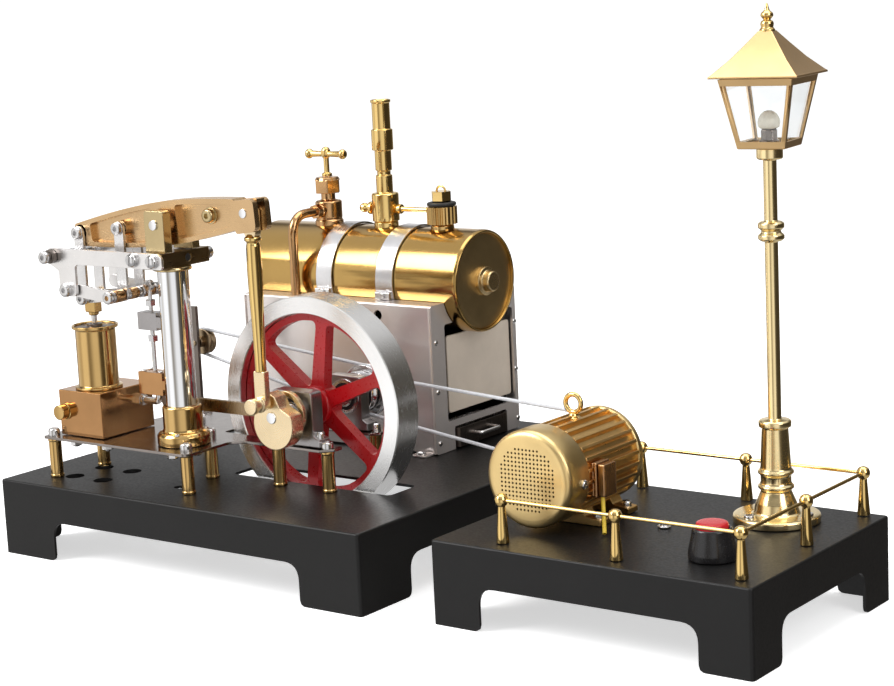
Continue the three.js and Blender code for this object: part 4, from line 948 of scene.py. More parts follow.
for y0, y1, node_name in ((18, 22.6, "upright_front"), (34.4, 39, "upright_rear")):
    shape = rounded([(80.4, 133.7, 0.4), (91.2, 133.7, 0.4), (91.2, 151.2, 1.8), (80.4, 151.2, 1.8)], 6)
    piece(
        node_name + "_post", plate(Solid(), "xz", shape, y0, y1), "pale_brass", [node_name],
        bevel=0.4, segments=3
    )
pin = turned(Solid(), "y", FULCRUM, [(0, 17.2), (2.1, 17.2), (2.1, 40.2), (0, 40.2)], 48, 0.25)
piece("fulcrum_pin", pin, "chrome")

# ---------------------------------------------------------------- the beam
TILT = math.atan2(BEAM_RIGHT[1] - FULCRUM[1], BEAM_RIGHT[0] - FULCRUM[0])
ARM_LEFT = math.hypot(PIN_A[0] - FULCRUM[0], PIN_A[1] - FULCRUM[1])
ARM_RIGHT = math.hypot(BEAM_RIGHT[0] - FULCRUM[0], BEAM_RIGHT[1] - FULCRUM[1])


def on_beam(u, v):
    c, s = math.cos(TILT), math.sin(TILT)
    return (FULCRUM[0] + u * c - v * s, FULCRUM[1] + u * s + v * c)


def half_depth(u):
    end = ARM_LEFT + 3 if u < 0 else ARM_RIGHT + 6
    share = min(1, abs(u) / end)
    return 4.6 + 4.6 * (1 - share**1.7)


def beam_outline(low, high, inset, steps, corner=0.0):
    places = [low + (high - low) * k / steps for k in range(steps + 1)]
    bottom = [(*on_beam(u, -half_depth(u) + inset), 0.0) for u in places]
    top = [(*on_beam(u, half_depth(u) - inset), 0.0) for u in reversed(places)]
    corners = bottom + top
    for k in (0, steps, steps + 1, 2 * steps + 1):
        corners[k] = (*corners[k][:2], corner)
    return rounded(corners, 5)


beam = plate(
    Solid(), "xz", beam_outline(-ARM_LEFT - 3, ARM_RIGHT - 5, 0, 36, 1.5), 24.5, 32.5,
    [beam_outline(-44, -6.5, 2.0, 12, 2.5), beam_outline(7, 36.5, 2.0, 8, 2.5)]
)
plate(beam, "xz", beam_outline(-46, 38, 1.0, 20), 26.9, 30.1)
cheek = [
    (*on_beam(ARM_RIGHT - 5.5, -7.9), 1.6), (*on_beam(ARM_RIGHT + 5.5, -7.9), 3.0),
    (*on_beam(ARM_RIGHT + 6.2, 5.4), 2.8), (*on_beam(ARM_RIGHT - 6, 5.6), 0.0)
]
for y0, y1 in ((23.5, 26.3), (30.7, 33.5)):
    plate(beam, "xz", rounded(cheek, 6), y0, y1)
bridge = [
    (*on_beam(ARM_RIGHT - 6, 3.7), 0.0), (*on_beam(ARM_RIGHT + 5.9, 3.7), 0.0),
    (*on_beam(ARM_RIGHT + 6.1, 5.3), 0.6), (*on_beam(ARM_RIGHT - 6, 5.5), 0.0)
]
plate(beam, "xz", rounded(bridge, 3), 26.2, 30.8)
back_wall = [
    on_beam(ARM_RIGHT - 6, -4.6), on_beam(ARM_RIGHT - 4.7, -4.6), on_beam(ARM_RIGHT - 4.7, 4),
    on_beam(ARM_RIGHT - 6, 4)
]
plate(beam, "xz", back_wall, 26.2, 30.8)
for at, r in ((FULCRUM, 4.4), (PIN_A, 3.4), (PIN_B, 3.2)):
    reach = 5.2 if at is FULCRUM else 4.0
    rod(beam, "y", at, r, CENTRE_Y - reach, CENTRE_Y + reach, 40)
piece("beam_casting", beam, "beam_copper", ["beam"], body="beam", bevel=0.28, segments=3)
beam_bolt = Solid()
at = (110.0, 149.2)
washer(beam_bolt, (at[0], 26.9, at[1]), (0, -1, 0), 3.5, 0.7)
socket_screw(beam_bolt, (at[0], 26.2, at[1]), (0, -1, 0), 2.9, 2.4, 1.3)
hex_nut(beam_bolt, (at[0], 30.1, at[1]), (0, 1, 0), 3.0, 2.2)
piece("beam_bolt", beam_bolt, "pale_brass", body="beam")

# ---------------------------------------------------------------- parallel motion
LINK_FRONT = (22.8, 24.2)
TIE_FRONT = (24.6, 26.0)
RADIUS_FRONT = (15.2, 16.7)


def both(pair):
    return [pair, (mirror_y(pair[1]), mirror_y(pair[0]))]


def strap_shape(p, q, r, steps=12):
    along = math.atan2(q[1] - p[1], q[0] - p[0])
    out = []
    for centre, first in ((p, along + math.pi / 2), (q, along - math.pi / 2)):
        out += arc(centre, r, first, first + math.pi, steps)
    return out


def pinned(solid, at, y0, y1, r=2.8):
    """A pin across both links: a socket head in front, a nut behind."""
    rod(solid, "y", at, 1.15, y0, y1, 24)
    washer(solid, (at[0], y0, at[1]), (0, -1, 0), r + 0.1, 0.35)
    socket_screw(solid, (at[0], y0 - 0.35, at[1]), (0, -1, 0), r - 0.15, 1.6)
    hex_nut(solid, (at[0], y1, at[1]), (0, 1, 0), 2.3, 1.3, 1.1, 0.2, 0.2)


for top, bottom, name, body, node_name in (
    (PIN_A, PIN_C, "end", "end_links", "links_end"),
    (PIN_B, PIN_D, "middle", "middle_links", "links_middle")
):
    bars = Solid()
    for y0, y1 in both(LINK_FRONT):
        plate(bars, "xz", strap_shape(top, bottom, 2.7), y0, y1)
    piece(f"{name}_link_bars", bars, "link_steel", [node_name], body=body, bevel=0.2)
    pins = Solid()
    pinned(pins, top, 22.7, 34.3)
    if name == "end":
        pinned(pins, bottom, 22.7, 34.3)
    piece(f"{name}_link_pins", pins, "screw_steel", body=body)

cross = Solid()
rod(cross, "y", PIN_D, 1.5, 13.9, mirror_y(13.9), 32)
for y0, y1, r in ((17.2, 22.3, 2.7), (mirror_y(22.3), mirror_y(17.2), 2.7), (26.4, 30.6, 2.5)):
    turned(cross, "y", PIN_D, [(1.4, y0), (r, y0), (r, y1), (1.4, y1)], 40, 0.35)
piece("cross_shaft_bar", cross, "copper", ["cross_shaft"], body="tie")
ties = Solid()
for y0, y1 in both(TIE_FRONT):
    plate(ties, "xz", strap_shape(PIN_C, PIN_D, 2.4), y0, y1)
piece("tie_bars", ties, "link_steel", body="tie", bevel=0.18)
ends = Solid()
socket_screw(ends, (PIN_D[0], 14.9, PIN_D[1]), (0, -1, 0), 2.75, 1.7)
socket_screw(ends, (PIN_D[0], mirror_y(14.9), PIN_D[1]), (0, 1, 0), 2.75, 1.7)
piece("cross_shaft_screws", ends, "screw_steel", body="tie")
for side, (y0, y1) in zip(("front", "rear"), both(RADIUS_FRONT)):
    bar = plate(Solid(), "xz", strap_shape(PIN_E, PIN_D, 2.7), y0, y1)
    piece(
        f"radius_{side}_strap", bar, "frame_steel", [f"radius_bar_{side}"], body=f"radius_{side}",
        bevel=0.2
    )

for side, (y0, y1), right in (("front", (13.2, 14.6), 93.5), ("rear", (42.4, 43.8), 80.9)):
    face = [
        (27, 134.2, 1.5), (27, 127.4, 1.5), (32.6, 124.6, 1.5), (32.6, 113.8, 2.6), (42.5, 113.8, 2.6),
        (42.5, 127.6, 2), (right, 127.6, 1.6), (right, 132.6, 1.6), (right - 2.5, 134.2, 1.2)
    ]
    frame_plate = plate(Solid(), "xz", rounded(face, 6), y0, y1)
    piece(f"side_frame_{side}_plate", frame_plate, "frame_steel", [f"side_frame_{side}"], bevel=0.22)
frame_screws = Solid()
for x, z in ((77.4, 131.2), (88.6, 131.0)):
    washer(frame_screws, (x, 13.2, z), (0, -1, 0), 3.1, 0.4)
    pan_screw(frame_screws, (x, 12.8, z), (0, -1, 0), 2.75, 1.9, 0.9, 1.45)
socket_screw(frame_screws, (88.0, 45.4, 130.5), (0, 1, 0), 2.7, 2.8, 1.2, 0.4)
for y, direction in ((13.2, -1), (43.8, 1)):
    rod(frame_screws, "y", PIN_E, 1.25, min(y, y - 2.2 * direction), max(y, y - 2.2 * direction), 24)
    washer(frame_screws, (PIN_E[0], y, PIN_E[1]), (0, direction, 0), 3.0, 0.5)
    socket_screw(frame_screws, (PIN_E[0], y + 0.5 * direction, PIN_E[1]), (0, direction, 0), 2.85, 1.9)
bolt = FRAME_BOLT
rod(frame_screws, "y", bolt, 1.3, 8.4, 48.4, 24)
turned(frame_screws, "y", bolt, [(1.2, 14.7), (1.9, 14.7), (1.9, 42.3), (1.2, 42.3)], 32, 0.2)
socket_screw(frame_screws, (bolt[0], 8.6, bolt[1]), (0, -1, 0), 2.7, 1.7)
piece("side_frame_screws", frame_screws, "screw_steel")
bolt_nut = Solid()
hex_nut(bolt_nut, (bolt[0], 12.9, bolt[1]), (0, -1, 0), 3.1, 2.5, 1.3, 0.5, 0.0)
hex_nut(bolt_nut, (bolt[0], 44.0, bolt[1]), (0, 1, 0), 3.1, 2.5, 1.3, 0.5, 0.0)
piece("frame_bolt_nuts", bolt_nut, "gunmetal", bevel=0.12)

# ---------------------------------------------------------------- connecting rod and crank pin
con = turned(
    Solid(), "z", (BEAM_RIGHT[0], CENTRE_Y),
    [
        (0, 85.6), (2.35, 85.6), (2.3, 92), (2.55, 104), (3.0, 118), (3.15, 128), (2.95, 137.4),
        (2.6, 138.6), (2.9, 139.2), (3.5, 139.5), (3.5, 140.9), (2.6, 141.4), (2.2, 142.2), (0, 142.4)
    ],
    64, 0.5
)
piece("connecting_rod_shank", con, "gold", ["connecting_rod"], body="connecting_rod")
big_end = [(x, z, 0.0) for x, z in arc(CRANK_PIN, 2.9, math.pi, 2 * math.pi, 12)]
big_end += [(133.3, 86, 0.6), (127.5, 86, 0.6)]
shoe = plate(Solid(), "xz", rounded(big_end, 4), 26.9, 30.0)
plate(shoe, "xz", strap_shape((130.4, 143), BEAM_RIGHT, 3.1), 26.7, 30.3)
piece("connecting_rod_eyes", shoe, "crank_brass", body="connecting_rod", bevel=0.35, segments=3)
crank_pin = turned(
    Solid(), "y", CRANK_PIN,
    [
        (0, 20.4), (3.1, 20.4), (3.3, 20.9), (3.3, 23.0), (2.5, 23.4), (2.5, 25.5), (3.3, 25.8),
        (3.3, 26.95)
    ],
    56, 0.25
)
piece("crank_pin_boss", crank_pin, "crank_brass", body="connecting_rod")
top_pin = turned(Solid(), "y", BEAM_RIGHT, [(0, 23.1), (1.9, 23.1), (1.9, 33.9), (0, 33.9)], 40, 0.15)
piece("connecting_rod_pin", top_pin, "chrome", body="connecting_rod")

# ---------------------------------------------------------------- crank, shaft and flywheel
round_end = arc((132.6, 63.0), 10.4, 0.86 * math.pi, 2.14 * math.pi, 56)
crank_outline = [(x, z, 0.0) for x, z in round_end]
crank_outline += [
    (136.6, 70.2, 2.5), (134.2, 74.8, 1.5), (130.4, 76.6, 3.0), (126.8, 74.8, 1.5), (125.4, 69.6, 2.5)
]
crank = plate(Solid(), "xz", rounded(crank_outline, 6), 31.1, 38.4)
piece("crank_web", crank, "crank_brass", ["crank"], body="shaft", bevel=0.4, segments=3)
crank_face = turned(Solid(), "y", SHAFT, [(0, 30.6), (2.3, 30.6), (2.45, 30.9), (2.45, 31.6)], 48, 0.1)
piece("shaft_end", crank_face, "chrome", body="shaft")
shaft = rod(Solid(), "y", SHAFT, 2.5, 31.7, 96.5, 48, 0.3)
turned(shaft, "y", (SHAFT[0] + 1.2, SHAFT[1]), [(0, 39.6), (4.5, 39.6), (4.5, 42.2), (0, 42.2)], 56, 0.2)
turned(shaft, "y", SHAFT, [(2.4, 38.5), (3.6, 38.5), (3.6, 39.5), (2.4, 39.5)], 48, 0.1)
for low, r in ((84.6, 4.2), (51.3, 4.2), (70.6, 4.2)):
    turned(shaft, "y", SHAFT, [(2.4, low), (r, low), (r, low + 1.6), (2.4, low + 1.6)], 48, 0.2)


def grooved(solid, at, y, r, half=2.1, lip=1.0):
    profile = [
        (2.0, y - half), (r + lip - 0.3, y - half), (r + lip, y - half + 0.35),
        (r + lip - 0.2, y - half + 0.8), (r - 0.5, y - 0.55), (r - 0.75, y), (r - 0.5, y + 0.55),
        (r + lip - 0.2, y + half - 0.8), (r + lip, y + half - 0.35), (r + lip - 0.3, y + half),
        (2.0, y + half)
    ]
    return turned(solid, "y", at, profile, 72, 0.15)


grooved(shaft, SHAFT, BELT_Y, 8.0)
grooved(shaft, SHAFT, IDLER_Y, 10.4)
piece("shaft_and_pulleys", shaft, "shaft_steel", ["crankshaft"], body="shaft")

rim = Solid()
outer, inner, y0, y1 = 46.5, 39.2, 55.5, 69.5
turned(
    rim, "y", SHAFT,
    [
        (inner, 62.5), (inner, y0 + 0.4), (inner + 0.4, y0), (outer - 0.4, y0), (outer, y0 + 0.4),
        (outer, y1 - 0.4), (outer - 0.4, y1), (inner + 0.4, y1), (inner, y1 - 0.4), (inner, 62.5)
    ],
    200
)
piece("flywheel_rim_ring", rim, "rim_steel", ["flywheel_rim"], body="shaft")


def spoke_window(k):
    """The gap between two spokes, with rounded corners."""
    first = math.radians(82 + 60 * k)
    last = first + math.radians(60)
    reach = 36.0

    def beside(angle, along, across):
        c, s = math.cos(angle), math.sin(angle)
        return (SHAFT[0] + along * c - across * s, SHAFT[1] + along * s + across * c)

    middle = (first + last) / 2
    tip = 3.4 / math.sin(math.radians(30))
    corners = [(*polar(SHAFT, tip, middle), 5.0), (*beside(first, 14, 3.2), 0.0)]
    low = math.asin(2.7 / reach)
    corners.append((*polar(SHAFT, reach, first + low), 3.6))
    steps = 9
    span = math.radians(60) - 2 * low
    for n in range(2, steps - 1):
        corners.append((*polar(SHAFT, reach, first + low + span * n / steps), 0.0))
    corners.append((*polar(SHAFT, reach, last - low), 3.6))
    corners.append((*beside(last, 14, -3.2), 0.0))
    return rounded(corners, 7)


spider = plate(Solid(), "xz", circle(*SHAFT, 38.9, 160), 59.8, 65.0, [spoke_window(k) for k in range(6)])
turned(
    spider, "y", SHAFT, [(2.6, 57.6), (7.6, 57.6), (8.2, 58.2), (8.2, 66.8), (7.6, 67.4), (2.6, 67.4)], 72,
    0.3
)
piece("flywheel_spokes", spider, "red_enamel", ["flywheel_spider"], body="shaft", bevel=0.7, segments=4)


def bearing(name, x0, x1, y0, y1, flange):
    shape = rounded(
        [
            (x0, TABLE_TOP + 0.3, 0), (x1, TABLE_TOP + 0.3, 0), (x1, 55, 0.8), (x1 - 3, 56.5, 1.5),
            (x1 - 3, 75.0, 2.2), (x0 + 3, 75.0, 2.2), (x0 + 3, 56.5, 1.5), (x0, 55, 0.8)
        ],
        4
    )
    made = plate(Solid(), "xz", shape, y0, y1)
    piece(name + "_housing", made, "bearing_steel", [name], bevel=0.7)
    ring = Solid()
    pipe(ring, "y", SHAFT, 7.6, 5.9, y0 - 0.35, y0 + 0.2, 64, 0.1)
    pipe(ring, "y", SHAFT, 4.4, 2.7, y0 - 0.75, y0 + 0.2, 64, 0.15)
    if flange:
        pipe(ring, "y", SHAFT, 7.6, 5.9, y1 - 0.2, y1 + 0.35, 64, 0.1)
    piece(name + "_races", ring, "screw_steel")
    seal = turned(Solid(), "y", SHAFT, [(4.3, y0 - 0.15), (6.0, y0 - 0.15)], 48)
    piece(name + "_seal", seal, "black_rubber")


bearing("bearing_front", 118.5, 146, 44, 51, True)
bearing("bearing_rear", 120, 144, 78.4, 84.2, False)
foot_screw = Solid()
socket_screw(foot_screw, (143.6, 47.5, 55.0), (0, 0, 1), 2.2, 3.2, 1.1, 0.3)
piece("bearing_front_screw", foot_screw, "screw_steel")

# ---------------------------------------------------------------- eccentric rod and valve lever
ecc = Solid()
pipe(ecc, "y", SHAFT, 9.6, 7.3, 39.9, 41.9, 72, 0.2)
piece("eccentric_strap", ecc, "crank_brass", ["eccentric_rod"], body="eccentric_rod")
drag = plate(Solid(), "xz", strap_shape((66.5, 65.8), (SHAFT[0] - 8.4, SHAFT[1]), 2.7), 39.9, 41.9)
piece("eccentric_bar", drag, "rod_bronze", body="eccentric_rod", bevel=0.25)
lever = plate(Solid(), "xz", strap_shape((66.5, 72.5), (66.5, 65.8), 2.5), 37.7, 39.5)
rod(lever, "y", (66.5, 65.8), 1.1, 38, 42.8, 24, 0.2)
rod(lever, "y", (66.5, 72.5), 1.4, 37.4, 40.2, 24, 0.2)
piece("valve_lever_arm", lever, "gunmetal", ["valve_lever"], body="valve_lever", bevel=0.2)

# ---------------------------------------------------------------- idler and belts
post = block(Solid(), 37.0, 40.6, 86.6, 88.4, TABLE_TOP + 0.3, 98)
block(post, 38.4, 45, 82.6, 88.4, TABLE_TOP + 0.3, 53.1)
piece("idler_post_bar", post, "gunmetal", ["idler_post"], bevel=0.3)
idler = grooved(Solid(), IDLER, IDLER_Y, 5.4, 2.1, 0.5)
rod(idler, "y", IDLER, 1.2, 86, 96.4, 24, 0.2)
turned(idler, "y", IDLER, [(1.1, 89), (2.4, 89), (2.4, 91.2), (1.1, 91.2)], 32, 0.2)
piece("idler_wheel", idler, "rod_bronze", ["idler_pulley"], body="idler")


def belt_path(p, rp, q, rq, y):
    """The line of a belt round two pulleys."""
    length = math.dist(p, q)
    along = math.atan2(q[1] - p[1], q[0] - p[0])
    lean = math.asin((rp - rq) / length)
    out = []
    for centre, r, first, span in (
        (p, rp, along + math.pi / 2 - lean, math.pi + 2 * lean),
        (q, rq, along - math.pi / 2 + lean, math.pi - 2 * lean)
    ):
        out += [(x, y, z) for x, z in arc(centre, r, first, first + span, 40)]
    return out


for name, p, rp, q, rq, y in (
    ("generator_belt", SHAFT, 8.35, MOTOR, 12.85, BELT_Y),
    ("idler_belt", IDLER, 5.75, SHAFT, 10.75, IDLER_Y)
):
    cord = swept(Solid(), belt_path(p, rp, q, rq, y), 0.75, 14, closed=True)
    piece(name + "_cord", cord, "pale_cord", [name])

# ---------------------------------------------------------------- firebox
FIRE = (42, 150, 118, 182, BASE_H + 0.3, 99.5)
SHEET = 1.2
x0, x1, y0, y1, z0, z1 = FIRE
stove = plate(
    Solid(), "yz", rounded([(y0, z0, 1.5), (y1, z0, 1.5), (y1, z1, 1.2), (y0, z1, 1.2)], 4), x0, x1
)
firebox = piece("firebox_shell", stove, "stove_steel", ["firebox"])
hollow = plate(
    Solid(), "yz",
    rounded(
        [
            (y0 + SHEET, z0 - 2, 0), (y1 - SHEET, z0 - 2, 0), (y1 - SHEET, z1 - SHEET, 1),
            (y0 + SHEET, z1 - SHEET, 1)
        ],
        3
    ),
    x0 + SHEET, x1 - SHEET
)
side_door = plate(
    Solid(), "yz",
    rounded([(127.5, 46.5, 1.5), (179.4, 46.5, 1.5), (179.4, 90, 1.5), (127.5, 90, 1.5)], 4), x1 - 3,
    x1 + 3
)
mouth = plate(
    Solid(), "yz", rounded([(132, z0 - 3, 0), (172, z0 - 3, 0), (172, 43.6, 1.2), (132, 43.6, 1.2)], 4),
    x1 - 3, x1 + 3
)
cradle = rod(Solid(), "x", BOILER, BOILER_R + 0.35, x0 - 5, x1 + 5, 128)
front_hole = rod(Solid(), "y", (120.8, 94.0), 2.2, y0 - 3, y0 + 3, 32)
carve(firebox, hollow, side_door, mouth, cradle, front_hole)
soften(firebox, 0.28)
seams = Solid()
for x in (x0 + 0.9, x1 - 0.9):
    swept(seams, [(x, y0 - 0.05, z0 + 0.4), (x, y0 - 0.05, z1 - 0.6)], 0.55, 12)
piece("firebox_seams", seams, "stove_steel")
# Near-black sheets just inside the firebox's left end, front and back walls: painted shade of the
# firebox's inside.
inner_shade = plate(
    Solid(), "yz", [(y0 + 1.9, z0 + 0.2), (y1 - 1.9, z0 + 0.2), (y1 - 1.9, 80), (y0 + 1.9, 80)], x0 + 1.9,
    x0 + 2.5
)
plate(
    inner_shade, "xz", [(x0 + 2, z0 + 0.2), (x1 - 6, z0 + 0.2), (x1 - 6, 80), (x0 + 2, 80)], y0 + 1.5, y0 + 1.9
)
plate(
    inner_shade, "xz", [(x0 + 2, z0 + 0.2), (x1 - 6, z0 + 0.2), (x1 - 6, 80), (x0 + 2, 80)], y1 - 1.9, y1 - 1.5
)
piece("firebox_inner_shade", inner_shade, "sooty", bevel=0.15)

shield = plate(
    Solid(), "yz",
    rounded([(130.8, 49.6, 1.5), (178.6, 49.6, 1.5), (178.6, 84.2, 1.5), (130.8, 84.2, 1.5)], 4), 147.4,
    148.4
)
piece("fire_shield", shield, "shield_steel", bevel=0.4, segments=3)
stove_rivets = Solid()
for y in (120.9, 180.7):
    for z in (38, 61, 83):
        aimed(
            stove_rivets, (x1, y, z), (1, 0, 0),
            lambda s: turned(
                s, "z", (0, 0), [(0, -0.3), (1.25, -0.3), (1.2, 0.25), (0.8, 0.65), (0, 0.8)], 24
            )
        )
piece("firebox_rivets", stove_rivets, "screw_steel")
feet_screws = Solid()
for x in (x0 + 6, x1 - 6):
    pan_screw(feet_screws, (x, y0 - 3.2, BASE_H + 0.9), (0, 0, 1), 2.2, 1.5, 0.7, x)
tabs = Solid()
for x in (x0 + 6, x1 - 6):
    plate(
        tabs, "xy",
        rounded([(x - 4, y0 - 6, 2.5), (x + 4, y0 - 6, 2.5), (x + 4, y0 + 0.5, 0), (x - 4, y0 + 0.5, 0)]),
        BASE_H + 0.15, BASE_H + 0.9
    )
piece("firebox_feet", tabs, "stove_steel", bevel=0.15)
piece("firebox_feet_screws", feet_screws, "screw_steel")

# ---------------------------------------------------------------- burner tray
tray = plate(
    Solid(), "xy", rounded([(96, 133, 2), (151.6, 133, 2), (151.6, 171, 2), (96, 171, 2)], 5), 34, 42.6
)
burner = piece("burner_pan", tray, "gunmetal", ["burner_tray"], body="tray")
well = plate(
    Solid(), "xy",
    rounded([(97.2, 134.2, 1.2), (150.4, 134.2, 1.2), (150.4, 169.8, 1.2), (97.2, 169.8, 1.2)], 4), 35.2,
    45
)
carve(burner, well)
soften(burner, 0.2)
bars = Solid()
for k in range(5):
    x = 102 + 10.5 * k
    rod(bars, "y", (x, 41.3), 0.9, 133.8, 170.2, 16)
swept(
    bars,
    bend(
        [(151.2, 145, 38.5, 0), (155.0, 145, 38.5, 1.6), (155.0, 159, 38.5, 1.6), (151.2, 159, 38.5, 0)], 6
    ),
    0.9, 14
)
piece("burner_bars", bars, "link_steel", body="tray")

# ---------------------------------------------------------------- boiler, its straps and end plug
barrel = turned(
    Solid(), "x", BOILER,
    [
        (0, 34.9), (16.0, 34.9), (20.6, 35.3), (22.2, 36.0), (BOILER_R, 37.4), (BOILER_R, 155.8),
        (22.5, 156.8), (22.0, 157.2), (21.5, 157.1), (21.3, 156.4), (21.2, 155.6)
    ],
    160, 0.4
)
piece("boiler_barrel", barrel, "boiler_gold", ["boiler"])
disc = turned(
    Solid(), "x", BOILER, [(21.4, 155.5), (21.0, 155.9), (12, 156.2), (6.3, 156.3), (0, 156.3)], 128, 0.3
)
piece("boiler_end_disc", disc, "boiler_end")
plug = turned(
    Solid(), "x", BOILER,
    [
        (0, 156.0), (6.4, 156.0), (6.4, 158.0), (4.9, 158.3), (4.6, 158.9), (4.6, 161.2), (4.1, 161.8),
        (0, 161.8)
    ],
    64, 0.3
)
piece("boiler_plug", plug, "plug_gold")

for name, low, high in (("boiler_strap_left", 79.4, 88.4), ("boiler_strap_right", 113.8, 123.2)):
    band = Solid()
    first = math.radians(-20.5)
    last = math.radians(200.5)
    inside = arc(BOILER, 23.2, first, last, 96)
    plate(band, "yz", inside + arc(BOILER, 23.95, last, first, 96), low, high)
    piece(name + "_band", band, "strap_steel", [name], bevel=0.18)
clamps = Solid()
clamp_screws = Solid()
for x in (83.9, 118.5):
    clip = rounded([(128.2, 99.75, 0), (128.2, 103.2, 0.4), (124.4, 103.2, 1.0), (124.4, 99.75, 0.3)], 3)
    plate(clamps, "yz", clip, x - 4.0, x + 4.0)
    pan_screw(clamp_screws, (x, 124.4, 101.5), (0, -1, 0.05), 1.6, 1.3, 0.6, 0.4)
piece("strap_clamps", clamps, "screw_steel", bevel=0.25)
piece("strap_clamp_screws", clamp_screws, "screw_steel")

# ---------------------------------------------------------------- steam valve and steam pipe
STEAM = (69.4, 150.0)
valve_body = turned(
    Solid(), "z", STEAM,
    [
        (0, 125.5), (6.6, 125.8), (6.6, 130.6), (6.0, 131.2), (6.2, 132.0), (6.2, 139.2), (5.6, 139.8),
        (3.3, 140.3), (3.3, 143.4), (0, 143.4)
    ],
    64, 0.3
)
turned(valve_body, "y", (STEAM[0], 135.6), [(0, 142.5), (3.0, 142.5), (3.3, 143.2), (3.3, 145.2)], 40, 0.2)
piece("steam_valve_brass", valve_body, "copper", ["steam_valve_body"])
valve_hex = plate(Solid(), "xy", circle(*STEAM, 6.3, 6, math.radians(8)), 143.3, 149.6)
turned(valve_hex, "z", STEAM, [(5.9, 149.2), (5.1, 150.7), (0, 150.7)], 40)
piece("steam_valve_nut", valve_hex, "copper", bevel=0.4, segments=3)
stem = turned(
    Solid(), "z", STEAM, [(0, 150.9), (2.4, 150.9), (2.4, 152.2), (1.3, 152.8), (1.3, 160.8)], 36, 0.15
)
turned(
    stem, "z", STEAM, [(1.2, 159.2), (1.9, 159.8), (2.3, 161.2), (2.1, 163.0), (1.4, 164.2), (0, 164.6)],
    48, 0.4
)
turned(
    stem, "x", (150.0, 161.2),
    [
        (0, STEAM[0] - 11.8), (1.6, STEAM[0] - 11.5), (2.3, STEAM[0] - 10.4), (2.3, STEAM[0] - 9.4),
        (1.5, STEAM[0] - 8.2), (1.3, STEAM[0] - 3), (1.3, STEAM[0] + 3), (1.5, STEAM[0] + 8.2),
        (2.3, STEAM[0] + 9.4), (2.3, STEAM[0] + 10.4), (1.6, STEAM[0] + 11.5), (0, STEAM[0] + 11.8)
    ],
    36, 0.6
)
piece("steam_handle_bar", stem, "gold", ["steam_valve_handle"], body="steam_handle")
feed = swept(
    Solid(),
    bend([(STEAM[0], 142.4, 135.6, 0), (STEAM[0], 123.4, 135.6, 10), (STEAM[0], 123.4, 92.3, 0)], 16),
    2.15, 24
)
turned(feed, "y", (STEAM[0], 135.6), [(2.0, 139.4), (3.4, 139.4), (3.4, 142.2), (2.0, 142.2)], 6, 0.1, 0.3)
piece("steam_pipe_tube", feed, "copper", ["steam_pipe"])

# ---------------------------------------------------------------- whistle
WHISTLE = (103.0, 150.0)
whistle = turned(
    Solid(), "z", WHISTLE,
    [
        (0, 125.5), (5.6, 125.8), (5.6, 130.8), (5.2, 131.2), (6.2, 131.5), (6.2, 143.6), (5.7, 144.2),
        (3.8, 144.5), (3.8, 152.2), (3.1, 152.5), (3.1, 154.2), (3.8, 154.5), (3.8, 163.4), (4.9, 163.7),
        (4.9, 172.9), (4.1, 173.2), (4.1, 184.8), (4.6, 185.2), (4.6, 186.2), (4.2, 186.4), (3.7, 186.0),
        (3.6, 183.0), (0, 182.8)
    ],
    64, 0.2
)
piece("whistle_turning", whistle, "gold", ["whistle"])
lever = turned(
    Solid(), "x", (150.0, 137.0),
    [
        (0, 88.5), (1.6, 89.0), (2.2, 90.2), (2.1, 91.6), (1.2, 92.6), (1.2, 93.9), (2.9, 94.1),
        (2.9, 96.0), (1.2, 96.2), (1.1, 110.1), (2.2, 110.4), (2.2, 112.2), (1.1, 112.5), (1.1, 126.9),
        (0, 127.2)
    ],
    36, 0.2
)
piece("whistle_lever_rod", lever, "gold", ["whistle_lever"], body="whistle_lever")

# ---------------------------------------------------------------- safety valve
SAFETY = (134.8, 150.0)
safety = turned(
    Solid(), "z", SAFETY, [(0, 125.5), (5.3, 125.8), (5.3, 130.4), (4.6, 131.0), (0, 131.0)], 56, 0.3
)
flutes = []
for k in range(20):
    for reach, part in ((6.9, 0.24), (6.9, 0.60), (6.35, 0.78), (6.35, 0.98)):
        flutes.append(polar(SAFETY, reach, 2 * math.pi * (k + part) / 20))
plate(safety, "xy", flutes, 131.2, 139.0)
piece("safety_valve_brass", safety, "turned_brass", ["safety_valve_body"], bevel=0.15)
seal = turned(
    Solid(), "z", SAFETY,
    [(4.2, 139.1), (5.8, 139.1), (6.6, 139.5), (6.6, 140.6), (5.8, 141.0), (4.2, 141.0)], 64, 0.4
)
piece("safety_valve_seal", seal, "black_rubber")
cap = plate(Solid(), "xy", circle(*SAFETY, 4.8, 6, math.radians(12)), 141.5, 145.8)
lifting_ring = [(x, SAFETY[1], z) for x, z in arc((SAFETY[0], 145.6), 2.4, 0, math.pi, 18)]
swept(cap, lifting_ring, 0.5, 12)
piece("safety_cap_hex", cap, "gold", ["safety_valve_cap"], body="safety_cap", bevel=0.2)

# ---------------------------------------------------------------- generator
MOTOR_R = 19.0
front_y, back_y = 31.0, 45.2
dots = []
spacing = 1.66
for i in range(-9, 10):
    for j in range(-9, 10):
        x, z = spacing * i, spacing * j
        if math.hypot(x, z) < 13.0:
            dots.append((MOTOR[0] + x, MOTOR[1] + z))
face_loop = circle(*MOTOR, 15.6, 96)
cover = plate(
    Solid(), "xz", face_loop, front_y + 0.1, front_y + 1.1, [circle(x, z, 0.46, 8) for x, z in dots]
)
lip = [(15.4, front_y + 0.1), (16.4, front_y + 0.15)]
for k in range(1, 7):
    a = math.radians(15 * k)
    lip.append((MOTOR_R - 2.6 * (1 - math.sin(a)), front_y + 0.15 + 2.6 * (1 - math.cos(a))))
lip += [
    (MOTOR_R, back_y - 0.6), (MOTOR_R - 0.4, back_y), (17.4, back_y), (17.4, front_y + 3),
    (15.4, front_y + 1.1)
]
turned(cover, "y", MOTOR, lip, 128)
